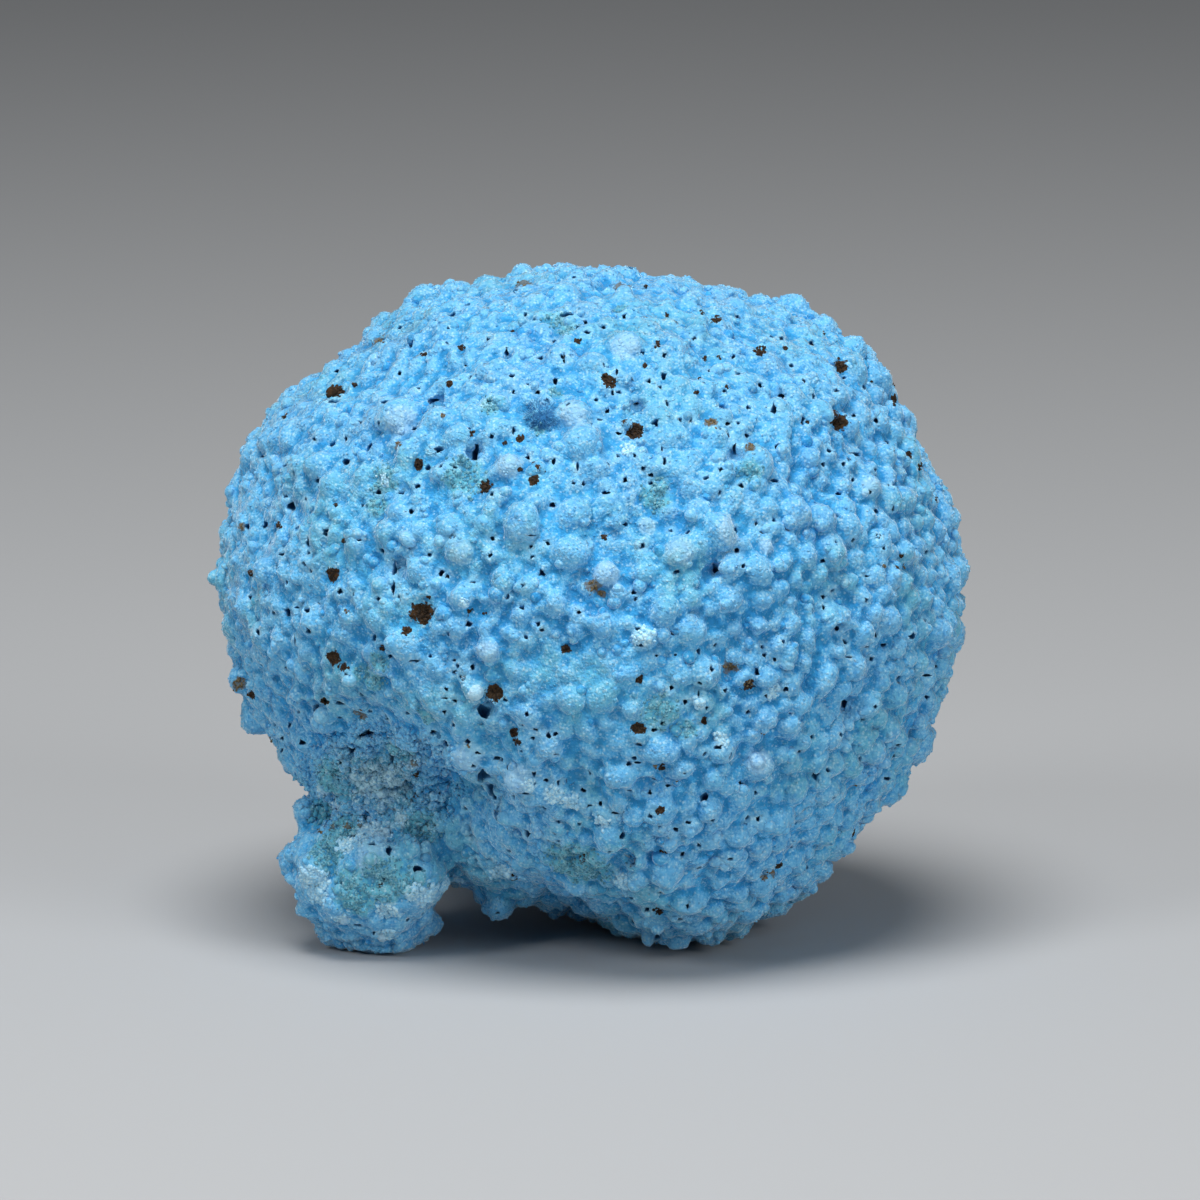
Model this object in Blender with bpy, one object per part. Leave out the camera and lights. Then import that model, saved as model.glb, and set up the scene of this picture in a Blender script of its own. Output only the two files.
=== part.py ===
"""A shattuckite nodule: one grown piece, a ball of pale blue beaded crust with a knob on its lower left.

Metres, +Z up, the front towards -Y. The nodule stands on the plane Z = 0, on a flat under the ball
and a flat under the knob, and its origin is below the middle of its outline.

Places on the front are given as (across, up) in millimetres from the ball's middle, as they are seen
from SIGHT_DISTANCE in front of it and SIGHT_RISE above the level. Such a place becomes a point of the
body where the line of sight meets it.
"""

import math
import random

import bmesh
import bpy
import numpy as np
from mathutils import Vector, noise
from mathutils.bvhtree import BVHTree

MM = 0.001

# The ball, in millimetres
BALL_HEIGHT = 16.5
BALL_DEPTH = 17.4
OUTLINE_STEP = 15
OUTLINE_RADII = (
    18.2, 18.3, 17.9, 18.1, 17.0, 16.6, 16.4, 16.6, 17.1, 17.2, 18.5, 18.5,
    18.3, 17.7, 16.8, 16.0, 15.2, 15.2, 15.6, 17.5, 17.7, 17.1, 17.4, 17.7,
)

# The line of sight that the front places are given along
SIGHT_RISE = math.radians(10)
SIGHT_DISTANCE = 400.0

# Broad swellings and hollows of the ball: across, up, half width, height
SWELLINGS = (
    (-8.6, -10.2, 3.6, -3.6),
    (-11.0, -7.0, 2.2, -1.3),
    (-1.5, -15.0, 2.6, -1.2),
    (-5.2, -9.8, 1.0, -0.7),
    (12.4, -5.0, 0.9, -1.0),
    (-13.5, 1.0, 3.2, 0.4),
    (-8.0, 8.0, 3.4, 0.35),
    (10.2, 14.6, 1.6, 0.5),
    (7.5, 2.0, 3.2, 0.45),
    (2.0, -4.5, 3.0, 0.4),
    (9.0, -9.5, 3.2, 0.35),
)
ROLL_HEIGHT = 0.34
ROLL_LENGTH = 4.6

# The knob, its neck, the bead on the neck and the stub beside the arch: middle (x, y, z), half sizes (x, y, z)
LOBES = (
    ((-11.1, -5.1, 3.9), (3.7, 3.8, 3.4)),
    ((-10.1, -4.9, 1.5), (2.3, 2.2, 2.0)),
    ((-12.9, -5.6, 4.3), (2.1, 2.6, 2.3)),
    ((-9.3, -7.2, 4.6), (2.0, 2.2, 1.8)),
    ((-9.8, -4.2, 7.4), (3.2, 3.6, 3.6)),
    ((-8.0, -3.2, 9.0), (3.8, 4.2, 3.4)),
    ((-13.7, -4.6, 6.7), (1.0, 0.8, 0.75)),
    ((-4.8, -4.2, 3.0), (0.75, 0.8, 1.4)),
)

# The large beads that stand out on the front: across, up, radius
FRONT_BEADS = (
    (-9.55, 9.35, 1.1), (-7.75, 9.25, 0.75), (-9.2, 7.45, 0.85), (-6.7, 8.4, 0.75), (-7.25, 6.5, 0.85),
    (-4.15, 7.0, 0.8), (-1.0, 9.45, 0.9), (-0.45, 8.1, 0.95), (-0.95, 4.55, 0.85), (1.7, 12.9, 0.85),
    (0.7, 1.45, 0.8), (4.5, 2.6, 0.95), (5.3, 3.1, 0.8), (6.3, 3.6, 1.05), (8.1, 7.2, 1.0),
    (11.3, 4.25, 0.9), (13.8, 5.85, 0.7), (15.45, 5.2, 0.75), (18.1, 4.4, 0.75), (-16.25, 1.7, 0.85),
    (-11.75, 3.05, 0.75), (-6.5, 0.4, 0.85), (-9.35, -1.85, 0.9), (-6.6, -1.1, 0.75), (-6.25, -7.5, 0.95),
    (-5.15, -2.3, 0.8), (-17.4, -3.75, 0.75), (-1.95, 0.05, 0.8), (-1.1, 2.5, 0.95), (-3.5, 4.05, 1.0),
    (4.95, -1.3, 0.85), (6.85, 0.25, 0.75), (14.7, -0.75, 0.75), (11.6, -3.65, 0.9), (13.7, -4.85, 0.8),
    (16.3, -6.25, 0.75), (14.75, -6.15, 0.75), (8.25, -7.95, 0.85), (8.55, -5.55, 0.75), (10.15, -9.25, 0.8),
    (1.4, -8.5, 0.95), (1.1, -11.55, 0.95), (3.4, -10.05, 0.9), (6.75, -12.45, 0.8), (8.35, -12.1, 0.8),
    (11.65, -9.35, 0.75), (-14.3, -10.3, 0.7), (-10.9, -12.5, 0.95), (-13.8, -13.1, 0.75), (-9.2, -12.2, 0.7),
    (13.9, -7.2, 0.75), (-3.4, 16.4, 0.8), (8.3, 15.0, 0.7), (10.1, 14.9, 0.8), (11.6, 13.8, 0.75),
    (12.9, 12.7, 0.75), (-16.9, 8.3, 0.7), (-18.2, 3.6, 0.7), (-18.4, 1.4, 0.7), (15.6, 9.7, 0.7),
    (17.3, -5.2, 0.75), (-4.6, -14.9, 0.75),
)
BEAD_SINK = 0.22

# Beads over the rest of the body, where each stands a little apart from the next
SPREAD_SEED = 41
SPREAD_RADII = (0.75, 1.15)
SPREAD_CLEARANCE = 1.1
SPREAD_SINK = 0.35

# The widest pits of the front, the gash first: across, up, radius
FRONT_PITS = (
    (-5.25, -8.4, 0.5), (-4.95, -9.2, 0.5), (-4.7, -10.0, 0.5), (-4.45, -10.75, 0.45), (-6.05, -11.35, 0.5),
    (-12.05, -7.25, 0.65), (-11.2, -6.35, 0.6), (-5.4, -5.2, 0.75), (12.55, -5.0, 0.7), (-14.2, 2.75, 0.55),
    (-9.85, 1.9, 0.6), (-5.85, 7.75, 0.6), (13.05, 7.6, 0.6), (7.1, 7.75, 0.55), (9.45, 10.5, 0.6),
    (12.45, -1.5, 0.55), (6.2, 1.8, 0.5), (12.65, -6.7, 0.55), (-13.85, -5.25, 0.6), (6.6, 9.9, 0.5),
    (-7.9, 10.25, 0.5), (1.55, -13.0, 0.8), (-4.2, 12.6, 0.5), (2.3, 10.0, 0.5), (-8.1, -7.0, 0.55),
)
SPREAD_PITS = 45
SPREAD_PIT_RADII = (0.5, 0.75)
SPREAD_PIT_RISES = (-0.6, 1)
PIT_DEPTH = 1.5

# Mesh sizes
BODY_VOXEL = 0.5
CRUST_VOXEL = 0.26
CRUST_RELAX = 0.35
CRUST_RELAX_ROUNDS = 2
MOST_TRIANGLES = 9600
CUT_TOLERANCE = 1e-5
WELD_DISTANCE = 1e-4
BALL_DIVISIONS = 6
LOBE_DIVISIONS = 4
BEAD_DIVISIONS = 3

COLOUR = (0.105, 0.39, 0.71, 1.0)
ROUGHNESS = 0.85


def clear_scene():
    """Removes every object of the opened scene."""
    for obj in list(bpy.data.objects):
        bpy.data.objects.remove(obj, do_unlink=True)


def sight_axes():
    """The ball's middle and the across, up and inward axes of the front view."""
    middle = Vector((0.0, 0.0, BALL_HEIGHT))
    across = Vector((1.0, 0.0, 0.0))
    up = Vector((0.0, math.sin(SIGHT_RISE), math.cos(SIGHT_RISE)))
    inward = Vector((0.0, math.cos(SIGHT_RISE), -math.sin(SIGHT_RISE)))
    return middle, across, up, inward


def outline_radius(angle):
    """The ball's outline at an angle from the across axis, on a smooth closed curve through OUTLINE_RADII."""
    count = len(OUTLINE_RADII)
    place = (math.degrees(angle) / OUTLINE_STEP) % count
    first = int(place)
    t = place - first
    before, start, end, after = (OUTLINE_RADII[(first + k - 1) % count] for k in range(4))
    bend = 2 * before - 5 * start + 4 * end - after
    twist = 3 * (start - end) + after - before
    return start + 0.5 * t * (end - before + t * (bend + t * twist))


def ball_surface(direction):
    """The plain ball's point in a direction: the outline seen from the front, rounded to BALL_DEPTH."""
    middle, across, up, inward = sight_axes()
    x, z, y = direction.dot(across), direction.dot(up), direction.dot(inward)
    level = math.hypot(x, z)
    radius = outline_radius(math.atan2(z, x))
    reach = 1 / math.hypot(level / radius, y / BALL_DEPTH)
    return middle + direction * reach


def swelling_centres():
    """Each broad swelling as its middle on the plain ball, its half width and its height."""
    directions, faces = unit_sphere(BALL_DIVISIONS - 1)
    points = [ball_surface(Vector(direction).normalized()) for direction in directions]
    tree = BVHTree.FromPolygons(points, faces.tolist())
    return [(seen_point(tree, x, z)[0], width, height) for x, z, width, height in SWELLINGS]


def swell_height(point, centres):
    """How far the ball's surface is raised at a point by its swellings and its slow roll."""
    rise = ROLL_HEIGHT * noise.noise(point / ROLL_LENGTH)
    for centre, width, height in centres:
        rise += height * math.exp(-((point - centre).length_squared) / (width * width))
    return rise


def unit_sphere(divisions):
    """The points and triangles of an icosphere of radius 1, as arrays."""
    sphere = bmesh.new()
    bmesh.ops.create_icosphere(sphere, subdivisions=divisions, radius=1)
    points = np.array([vert.co for vert in sphere.verts])
    faces = np.array([[vert.index for vert in face.verts] for face in sphere.faces])
    sphere.free()
    return points, faces


class Clay:
    """Closed shapes gathered as points and triangles, and then made one object."""

    def __init__(self):
        self.points = []
        self.faces = []
        self.count = 0

    def add(self, points, faces):
        """Adds one closed shape."""
        self.points.append(points)
        self.faces.append(faces + self.count)
        self.count += len(points)

    def add_lobe(self, middle, half_sizes, sphere):
        """Adds an egg-shaped lobe made from a unit sphere."""
        points, faces = sphere
        self.add(points * np.array(half_sizes) + np.array(middle), faces)

    def make(self, name):
        """The gathered shapes as a new object in the scene."""
        mesh = bpy.data.meshes.new(name)
        mesh.from_pydata(np.concatenate(self.points).tolist(), [], np.concatenate(self.faces).tolist())
        obj = bpy.data.objects.new(name, mesh)
        bpy.context.collection.objects.link(obj)
        return obj


def ball_points(directions):
    """The ball's points in the given directions, with its swellings."""
    centres = swelling_centres()
    points = []
    for direction in map(Vector, directions):
        point = ball_surface(direction.normalized())
        points.append(point + direction * swell_height(point, centres))
    return np.array(points)


def remesh(obj, voxel):
    """Fuses all that an object holds into one even skin."""
    modifier = obj.modifiers.new("fuse", "REMESH")
    modifier.mode = "VOXEL"
    modifier.voxel_size = voxel
    modifier.adaptivity = 0.0
    apply_modifiers(obj)


def apply_modifiers(obj):
    """Replaces an object's mesh by what its modifiers make of it."""
    graph = bpy.context.evaluated_depsgraph_get()
    made = bpy.data.meshes.new_from_object(obj.evaluated_get(graph))
    old = obj.data
    obj.modifiers.clear()
    obj.data = made
    bpy.data.meshes.remove(old)


def body_surface():
    """The smooth body under the beads: ball, neck and knob as one even skin."""
    clay = Clay()
    directions, faces = unit_sphere(BALL_DIVISIONS)
    clay.add(ball_points(directions), faces)
    lobe = unit_sphere(LOBE_DIVISIONS)
    for middle, half_sizes in LOBES:
        clay.add_lobe(middle, half_sizes, lobe)
    body = clay.make("body")
    remesh(body, BODY_VOXEL)
    return body


def seen_point(tree, x, z):
    """Where the line of sight to a front place meets a surface, and the way out of it there."""
    middle, across, up, inward = sight_axes()
    eye = middle - inward * SIGHT_DISTANCE
    towards = middle + across * x + up * z - eye
    point, normal, _, _ = tree.ray_cast(eye, towards.normalized())
    if point is None:
        point, normal, _, _ = tree.find_nearest(eye + towards)
    return point, normal


def front_places(tree):
    """The large beads of the front: where each meets the body, the way out of it there, and its radius."""
    return [(*seen_point(tree, x, z), radius, BEAD_SINK) for x, z, radius in FRONT_BEADS]


def spread_places(body, places):
    """Beads over the rest of the body, none closer to another than their radii allow."""
    draw = random.Random(SPREAD_SEED)
    sites = [(vert.co.copy(), vert.normal.copy()) for vert in body.data.vertices]
    sites.sort(key=lambda site: tuple(round(value, 3) for value in site[0]))
    draw.shuffle(sites)
    cell = 2 * SPREAD_RADII[1]
    grid = {}
    for place in places:
        grid.setdefault(cell_of(place[0], cell), []).append(place)
    spread = list(places)
    for point, normal in sites:
        radius = draw.uniform(*SPREAD_RADII)
        if point.z < radius or crowded(grid, point, radius, cell):
            continue
        place = (point, normal, radius, SPREAD_SINK)
        spread.append(place)
        grid.setdefault(cell_of(point, cell), []).append(place)
    return spread


def cell_of(point, cell):
    """The grid cell that a point is in."""
    return tuple(int(math.floor(value / cell)) for value in point)


def crowded(grid, point, radius, cell):
    """Whether a bead of this radius at this point would crowd one that is already there."""
    home = cell_of(point, cell)
    for dx in (-1, 0, 1):
        for dy in (-1, 0, 1):
            for dz in (-1, 0, 1):
                for other, _, size, _ in grid.get((home[0] + dx, home[1] + dy, home[2] + dz), ()):
                    if (other - point).length < SPREAD_CLEARANCE * (size + radius):
                        return True
    return False


def sink_pits(crust):
    """Pushes the pits into the crust, those of the front first and the rest where chance puts them."""
    crust.data.calc_loop_triangles()
    points = np.array([vert.co for vert in crust.data.vertices])
    normals = np.array([vert.normal for vert in crust.data.vertices])
    faces = [triangle.vertices for triangle in crust.data.loop_triangles]
    tree = BVHTree.FromPolygons(points.tolist(), faces)
    pits = [(*seen_point(tree, x, z), radius) for x, z, radius in FRONT_PITS]
    draw = random.Random(SPREAD_SEED)
    for _ in range(SPREAD_PITS):
        turn, rise = draw.uniform(0, math.tau), draw.uniform(*SPREAD_PIT_RISES)
        away = Vector((math.cos(turn), abs(math.sin(turn)), rise)).normalized()
        point, normal, _, _ = tree.find_nearest(Vector((0, 0, BALL_HEIGHT)) + away * BALL_DEPTH)
        pits.append((point, normal, draw.uniform(*SPREAD_PIT_RADII)))
    pushed = np.zeros(len(points))
    for point, normal, radius in pits:
        near = ((points - np.array(point)) ** 2).sum(axis=1) / radius**2
        facing = normals @ np.array(normal) > 0
        pushed = np.maximum(pushed, np.where(facing, PIT_DEPTH * radius * np.clip(1 - near, 0, 1), 0))
    points -= normals * pushed[:, None]
    crust.data.vertices.foreach_set("co", points.ravel())
    crust.data.update()


def make_crust():
    """The whole nodule in millimetres: the body with its beads grown into it, thinned to few triangles."""
    body = body_surface()
    body.data.calc_loop_triangles()
    clay = Clay()
    points = np.array([vert.co for vert in body.data.vertices])
    faces = np.array([triangle.vertices for triangle in body.data.loop_triangles])
    clay.add(points, faces)
    tree = BVHTree.FromPolygons(points.tolist(), faces.tolist())
    bead = unit_sphere(BEAD_DIVISIONS)
    for point, normal, radius, sink in spread_places(body, front_places(tree)):
        clay.add_lobe(point - normal * (sink * radius), (radius,) * 3, bead)
    bpy.data.objects.remove(body, do_unlink=True)
    crust = clay.make("shattuckite_nodule")
    remesh(crust, CRUST_VOXEL)
    relax = crust.modifiers.new("relax", "SMOOTH")
    relax.factor = CRUST_RELAX
    relax.iterations = CRUST_RELAX_ROUNDS
    apply_modifiers(crust)
    sink_pits(crust)
    thin = crust.modifiers.new("thin", "DECIMATE")
    thin.ratio = MOST_TRIANGLES / sum(len(face.vertices) - 2 for face in crust.data.polygons)
    apply_modifiers(crust)
    return crust


def stand_and_scale(crust):
    """Cuts the feet flat at Z = 0, centres the outline on the origin and turns millimetres into metres."""
    shape = bmesh.new()
    shape.from_mesh(crust.data)
    whole = shape.verts[:] + shape.edges[:] + shape.faces[:]
    cut = bmesh.ops.bisect_plane(
        shape, geom=whole, dist=CUT_TOLERANCE, plane_co=(0, 0, 0), plane_no=(0, 0, 1), clear_inner=True
    )
    rim = [item for item in cut["geom_cut"] if isinstance(item, bmesh.types.BMEdge)]
    bmesh.ops.triangle_fill(shape, use_beauty=True, edges=rim)
    bmesh.ops.remove_doubles(shape, verts=shape.verts, dist=WELD_DISTANCE)
    bmesh.ops.recalc_face_normals(shape, faces=shape.faces)
    points = np.array([vert.co for vert in shape.verts])
    across = (points[:, 0].min() + points[:, 0].max()) / 2
    along = (points[:, 1].min() + points[:, 1].max()) / 2
    bmesh.ops.translate(shape, verts=shape.verts, vec=(-across, -along, 0))
    bmesh.ops.scale(shape, verts=shape.verts, vec=(MM, MM, MM))
    shape.to_mesh(crust.data)
    shape.free()


def blue_stone():
    """The nodule's own plain finish."""
    material = bpy.data.materials.new("shattuckite")
    material.use_nodes = True
    shader = material.node_tree.nodes["Principled BSDF"]
    shader.inputs["Base Color"].default_value = COLOUR
    shader.inputs["Roughness"].default_value = ROUGHNESS
    shader.inputs["Metallic"].default_value = 0.0
    return material


def main():
    """Builds the nodule."""
    clear_scene()
    crust = make_crust()
    stand_and_scale(crust)
    crust.data.materials.clear()
    crust.data.materials.append(blue_stone())
    crust.data.shade_smooth()


main()
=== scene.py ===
"""The looks of a shattuckite nodule: one grown stone, a ball of beaded blue crust with a knob on its lower left.

The stone is modelled in millimetres about its own design frame, as its solid is, and each finished piece
is then moved into the frame's place and turned into metres. Places on the front are given as
(across, up) in millimetres from the ball's middle, as they are seen along the line of sight.
"""

import logging
import math
import random
from dataclasses import dataclass
from enum import Enum

import bpy
import numpy as np
from mathutils import Matrix, Quaternion, Vector, noise
from mathutils.bvhtree import BVHTree


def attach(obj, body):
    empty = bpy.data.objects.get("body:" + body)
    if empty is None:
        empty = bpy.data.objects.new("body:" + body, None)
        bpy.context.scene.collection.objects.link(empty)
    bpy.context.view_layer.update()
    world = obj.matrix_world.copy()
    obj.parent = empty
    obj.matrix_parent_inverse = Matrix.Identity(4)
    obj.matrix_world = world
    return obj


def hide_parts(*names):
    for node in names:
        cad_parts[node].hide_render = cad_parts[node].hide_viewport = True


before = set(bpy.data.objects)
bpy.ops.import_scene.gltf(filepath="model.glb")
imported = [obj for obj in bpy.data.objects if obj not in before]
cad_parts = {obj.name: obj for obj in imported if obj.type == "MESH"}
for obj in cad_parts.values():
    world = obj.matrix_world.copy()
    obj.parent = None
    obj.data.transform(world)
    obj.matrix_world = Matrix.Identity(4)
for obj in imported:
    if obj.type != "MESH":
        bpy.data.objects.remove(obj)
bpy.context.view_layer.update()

LOG = logging.getLogger("shattuckite")
NODE = "shattuckite_nodule"
BODY = "root"
MM = 0.001

# The ball's middle in the frame is the design frame's middle moved by this much, in millimetres
FRAME_SHIFT = Vector((0.052, 0.044, 0.0))

Place = tuple[Vector, Vector, float, float]
Arrays = tuple[np.ndarray, np.ndarray]

# The large beads that the solid has too: across, up, radius
LARGE_BEADS = (
    (-9.55, 9.35, 1.1), (-7.75, 9.25, 0.75), (-9.2, 7.45, 0.85), (-6.7, 8.4, 0.75), (-7.25, 6.5, 0.85),
    (-4.15, 7.0, 0.8), (-1.0, 9.45, 0.9), (-0.45, 8.1, 0.95), (-0.95, 4.55, 0.85), (1.7, 12.9, 0.85),
    (0.7, 1.45, 0.8), (4.5, 2.6, 0.95), (5.3, 3.1, 0.8), (6.3, 3.6, 1.05), (8.1, 7.2, 1.0),
    (11.3, 4.25, 0.9), (13.8, 5.85, 0.7), (15.45, 5.2, 0.75), (18.1, 4.4, 0.75), (-16.25, 1.7, 0.85),
    (-11.75, 3.05, 0.75), (-6.5, 0.4, 0.85), (-9.35, -1.85, 0.9), (-6.6, -1.1, 0.75), (-6.25, -7.5, 0.95),
    (-5.15, -2.3, 0.8), (-17.4, -3.75, 0.75), (-1.95, 0.05, 0.8), (-1.1, 2.5, 0.95), (-3.5, 4.05, 1.0),
    (4.95, -1.3, 0.85), (6.85, 0.25, 0.75), (14.7, -0.75, 0.75), (11.6, -3.65, 0.9), (13.7, -4.85, 0.8),
    (16.3, -6.25, 0.75), (14.75, -6.15, 0.75), (8.25, -7.95, 0.85), (8.55, -5.55, 0.75), (10.15, -9.25, 0.8),
    (1.4, -8.5, 0.95), (1.1, -11.55, 0.95), (3.4, -10.05, 0.9), (6.75, -12.45, 0.8), (8.35, -12.1, 0.8),
    (11.65, -9.35, 0.75), (-14.3, -10.3, 0.7), (-10.9, -12.5, 0.95), (-13.8, -13.1, 0.75), (-9.2, -12.2, 0.7),
    (13.9, -7.2, 0.75), (-3.4, 16.4, 0.8), (8.3, 15.0, 0.7), (10.1, 14.9, 0.8), (11.6, 13.8, 0.75),
    (12.9, 12.7, 0.75), (-16.9, 8.3, 0.7), (-18.2, 3.6, 0.7), (-18.4, 1.4, 0.7), (15.6, 9.7, 0.7),
    (17.3, -5.2, 0.75), (-4.6, -14.9, 0.75),
)
LARGE_SINK = 0.12

# The lesser beads of the front: across, up, radius
LESSER_BEADS = (
    (5.3, -0.55, 0.7), (4.85, -1.6, 0.75), (7.0, 0.4, 0.8), (7.15, -1.1, 0.55), (6.05, -1.55, 0.4),
    (8.55, 0.25, 0.5), (4.5, -3.45, 0.5), (8.0, -2.75, 0.5), (9.75, -2.5, 0.6), (10.0, -0.85, 0.55),
    (3.6, -0.25, 0.8), (8.83, 3.0, 0.48), (14.9, 1.35, 0.6), (16.45, 1.55, 0.5), (17.45, 1.4, 0.55),
    (17.45, 0.5, 0.45), (13.5, -1.5, 0.7), (15.95, 0.3, 0.65), (-6.6, 2.65, 0.8), (-8.6, 1.7, 0.7),
    (-10.25, -0.15, 0.5), (-10.5, 0.7, 0.5), (-11.1, -2.4, 0.55), (-6.25, -2.55, 0.45), (-6.25, -3.2, 0.6),
    (-15.5, -1.7, 0.65), (-15.8, -3.05, 0.45), (-12.3, -1.55, 0.45), (-18.55, 1.35, 0.4), (-18.4, -0.1, 0.3),
    (2.75, 4.0, 0.5), (0.95, 7.5, 0.3), (9.35, 7.7, 0.7), (8.25, 6.0, 0.55), (6.0, 5.75, 0.6),
    (8.9, 3.4, 0.5), (8.8, 4.75, 0.6), (5.0, 7.25, 0.6), (6.1, 8.4, 0.7), (16.55, 5.75, 0.75),
    (14.0, 6.0, 0.5), (12.5, 6.0, 0.6), (13.7, 4.5, 0.55), (14.65, 7.4, 0.8), (14.8, 8.6, 0.7),
    (15.6, 8.35, 0.7), (13.4, 7.7, 0.3), (12.35, 8.35, 0.4), (11.65, 8.3, 0.42), (11.4, 9.6, 0.65),
    (-8.55, 8.4, 0.6), (-6.6, 7.4, 0.6), (-9.8, 6.35, 0.55), (-10.5, 6.8, 0.5), (-6.0, 9.45, 0.5),
    (-4.9, 6.6, 0.5), (-17.4, 6.7, 0.35), (-13.55, 7.0, 1.0), (-13.0, 6.05, 0.8), (-16.3, 5.1, 0.45),
    (-12.65, 4.6, 0.55), (1.45, 15.2, 0.8), (-0.15, 14.55, 0.8), (-0.1, 13.7, 0.65), (-1.25, 15.35, 0.85),
    (-2.5, 14.4, 0.5), (0.0, 11.85, 0.8), (-1.55, 12.2, 0.9), (6.2, 2.9, 0.7), (7.0, 3.75, 0.85),
    (-3.55, -0.45, 0.5), (-2.05, -0.15, 0.8), (-14.05, -1.0, 0.65), (-5.1, 8.5, 0.5), (1.8, 6.25, 0.5),
    (-12.6, 0.65, 0.5), (-8.72, 5.95, 0.5), (16.0, 4.15, 0.45), (-5.07, 2.5, 0.5), (-5.9, -4.1, 0.65),
    (-5.6, -7.35, 0.5), (-6.3, -5.4, 0.6), (6.4, -7.15, 0.75), (6.4, -6.2, 0.45), (3.5, -7.3, 0.85),
    (10.0, -8.0, 0.55), (9.8, -6.0, 0.75), (7.35, -9.6, 0.75), (-3.7, -8.7, 0.85), (-2.0, -7.1, 0.75),
    (-3.2, -5.4, 0.7), (2.0, -5.2, 0.5), (-1.1, -4.6, 0.7), (-8.9, -7.3, 0.4), (1.3, -8.6, 0.85),
    (11.25, -7.75, 0.65), (15.6, -8.3, 0.55), (14.9, -9.0, 0.5), (10.75, -1.75, 0.6), (14.0, -9.3, 0.65),
    (11.6, -5.6, 0.45), (11.0, -6.1, 0.4), (12.65, -6.75, 0.55), (12.1, -7.9, 0.6), (13.3, -8.6, 0.5),
    (17.2, -4.3, 0.5), (16.1, -5.1, 0.5), (15.3, -7.3, 0.45), (12.7, -10.6, 0.6), (13.3, -10.4, 0.5),
    (-1.7, -11.1, 0.5), (3.45, -11.1, 0.5), (4.9, -10.95, 0.6), (5.7, -11.75, 0.65), (7.25, -11.4, 0.7),
    (9.3, -11.8, 0.7), (8.0, -13.3, 0.6), (10.0, -12.7, 0.5), (8.6, -14.3, 0.55), (9.3, -14.0, 0.5),
    (10.0, -14.5, 0.55), (7.2, -14.3, 0.55), (7.2, -15.8, 0.5), (5.3, -15.9, 0.75), (3.5, -14.6, 0.5),
    (4.2, -15.3, 0.5), (6.4, -16.4, 0.4), (10.8, -12.4, 0.45), (1.6, -13.8, 0.6), (-3.3, -12.6, 0.6),
    (-6.8, -11.7, 0.6), (-5.0, -13.3, 0.5), (-3.7, -14.3, 0.45), (-12.15, -1.6, 0.47), (-13.0, -4.1, 0.5),
    (-14.7, -4.4, 0.6), (-16.05, -6.65, 0.45), (-14.4, -8.55, 0.5), (-8.35, -15.5, 0.55), (-7.3, -13.6, 0.45),
    (17.85, 3.55, 0.45), (18.1, 2.6, 0.45), (18.3, 1.05, 0.45), (3.7, 16.45, 0.55), (-12.6, 4.75, 0.55),
    (13.05, -4.05, 0.5), (-2.5, -6.45, 0.3), (-10.6, -3.2, 0.5), (-9.6, -3.9, 0.6), (-13.4, -5.9, 0.6),
    (-10.35, 3.6, 0.7), (-4.35, 8.85, 0.6), (-0.2, 9.2, 0.75), (2.6, 1.6, 0.6), (-5.35, -1.1, 0.6),
    (0.55, -1.0, 0.8), (2.7, -1.6, 0.65), (-4.1, -1.4, 0.55), (2.4, 7.3, 0.6), (4.4, 6.7, 0.7),
    (4.9, 5.75, 0.6), (5.4, 4.5, 0.75), (3.8, 4.75, 0.6), (-11.3, 10.5, 0.5), (-10.6, 10.4, 0.5),
    (-11.4, 6.5, 0.65), (-2.8, 5.1, 0.6), (0.2, 6.8, 0.7), (-7.2, 4.0, 0.65), (-9.6, 4.6, 0.6),
    (-3.1, 1.0, 0.6), (-4.4, 1.1, 0.6),
)
LESSER_SINK = 0.2

# The beads that the solid has over the rest of the body
SPREAD_SEED = 41
SPREAD_RADII = (0.75, 1.15)
SPREAD_CLEARANCE = 1.1
SPREAD_SINK = 0.35

# Wide hollows of the front, as the solid has them, the gash first: across, up, radius
WIDE_HOLLOWS = (
    (-5.35, -8.4, 0.62), (-5.05, -9.2, 0.62), (-4.75, -10.0, 0.62), (-4.5, -10.75, 0.58), (-6.05, -11.35, 0.5),
    (-12.05, -7.25, 0.65), (-11.2, -6.35, 0.6), (-5.4, -5.2, 0.75), (12.55, -5.0, 0.7), (-14.2, 2.75, 0.55),
    (-9.85, 1.9, 0.6), (-5.85, 7.75, 0.45), (13.05, 7.6, 0.6), (7.1, 7.75, 0.55), (9.45, 10.5, 0.6),
    (12.45, -1.5, 0.55), (6.2, 1.8, 0.5), (12.65, -6.7, 0.55), (-13.85, -5.25, 0.6), (6.6, 9.9, 0.5),
    (-7.9, 10.25, 0.5), (1.55, -13.0, 0.8), (-4.2, 12.6, 0.5), (2.3, 10.0, 0.5), (-8.1, -7.0, 0.55),
)
SPREAD_HOLLOWS = 45
SPREAD_HOLLOW_RADII = (0.5, 0.75)
HOLLOW_DEPTH = 1.2

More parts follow.
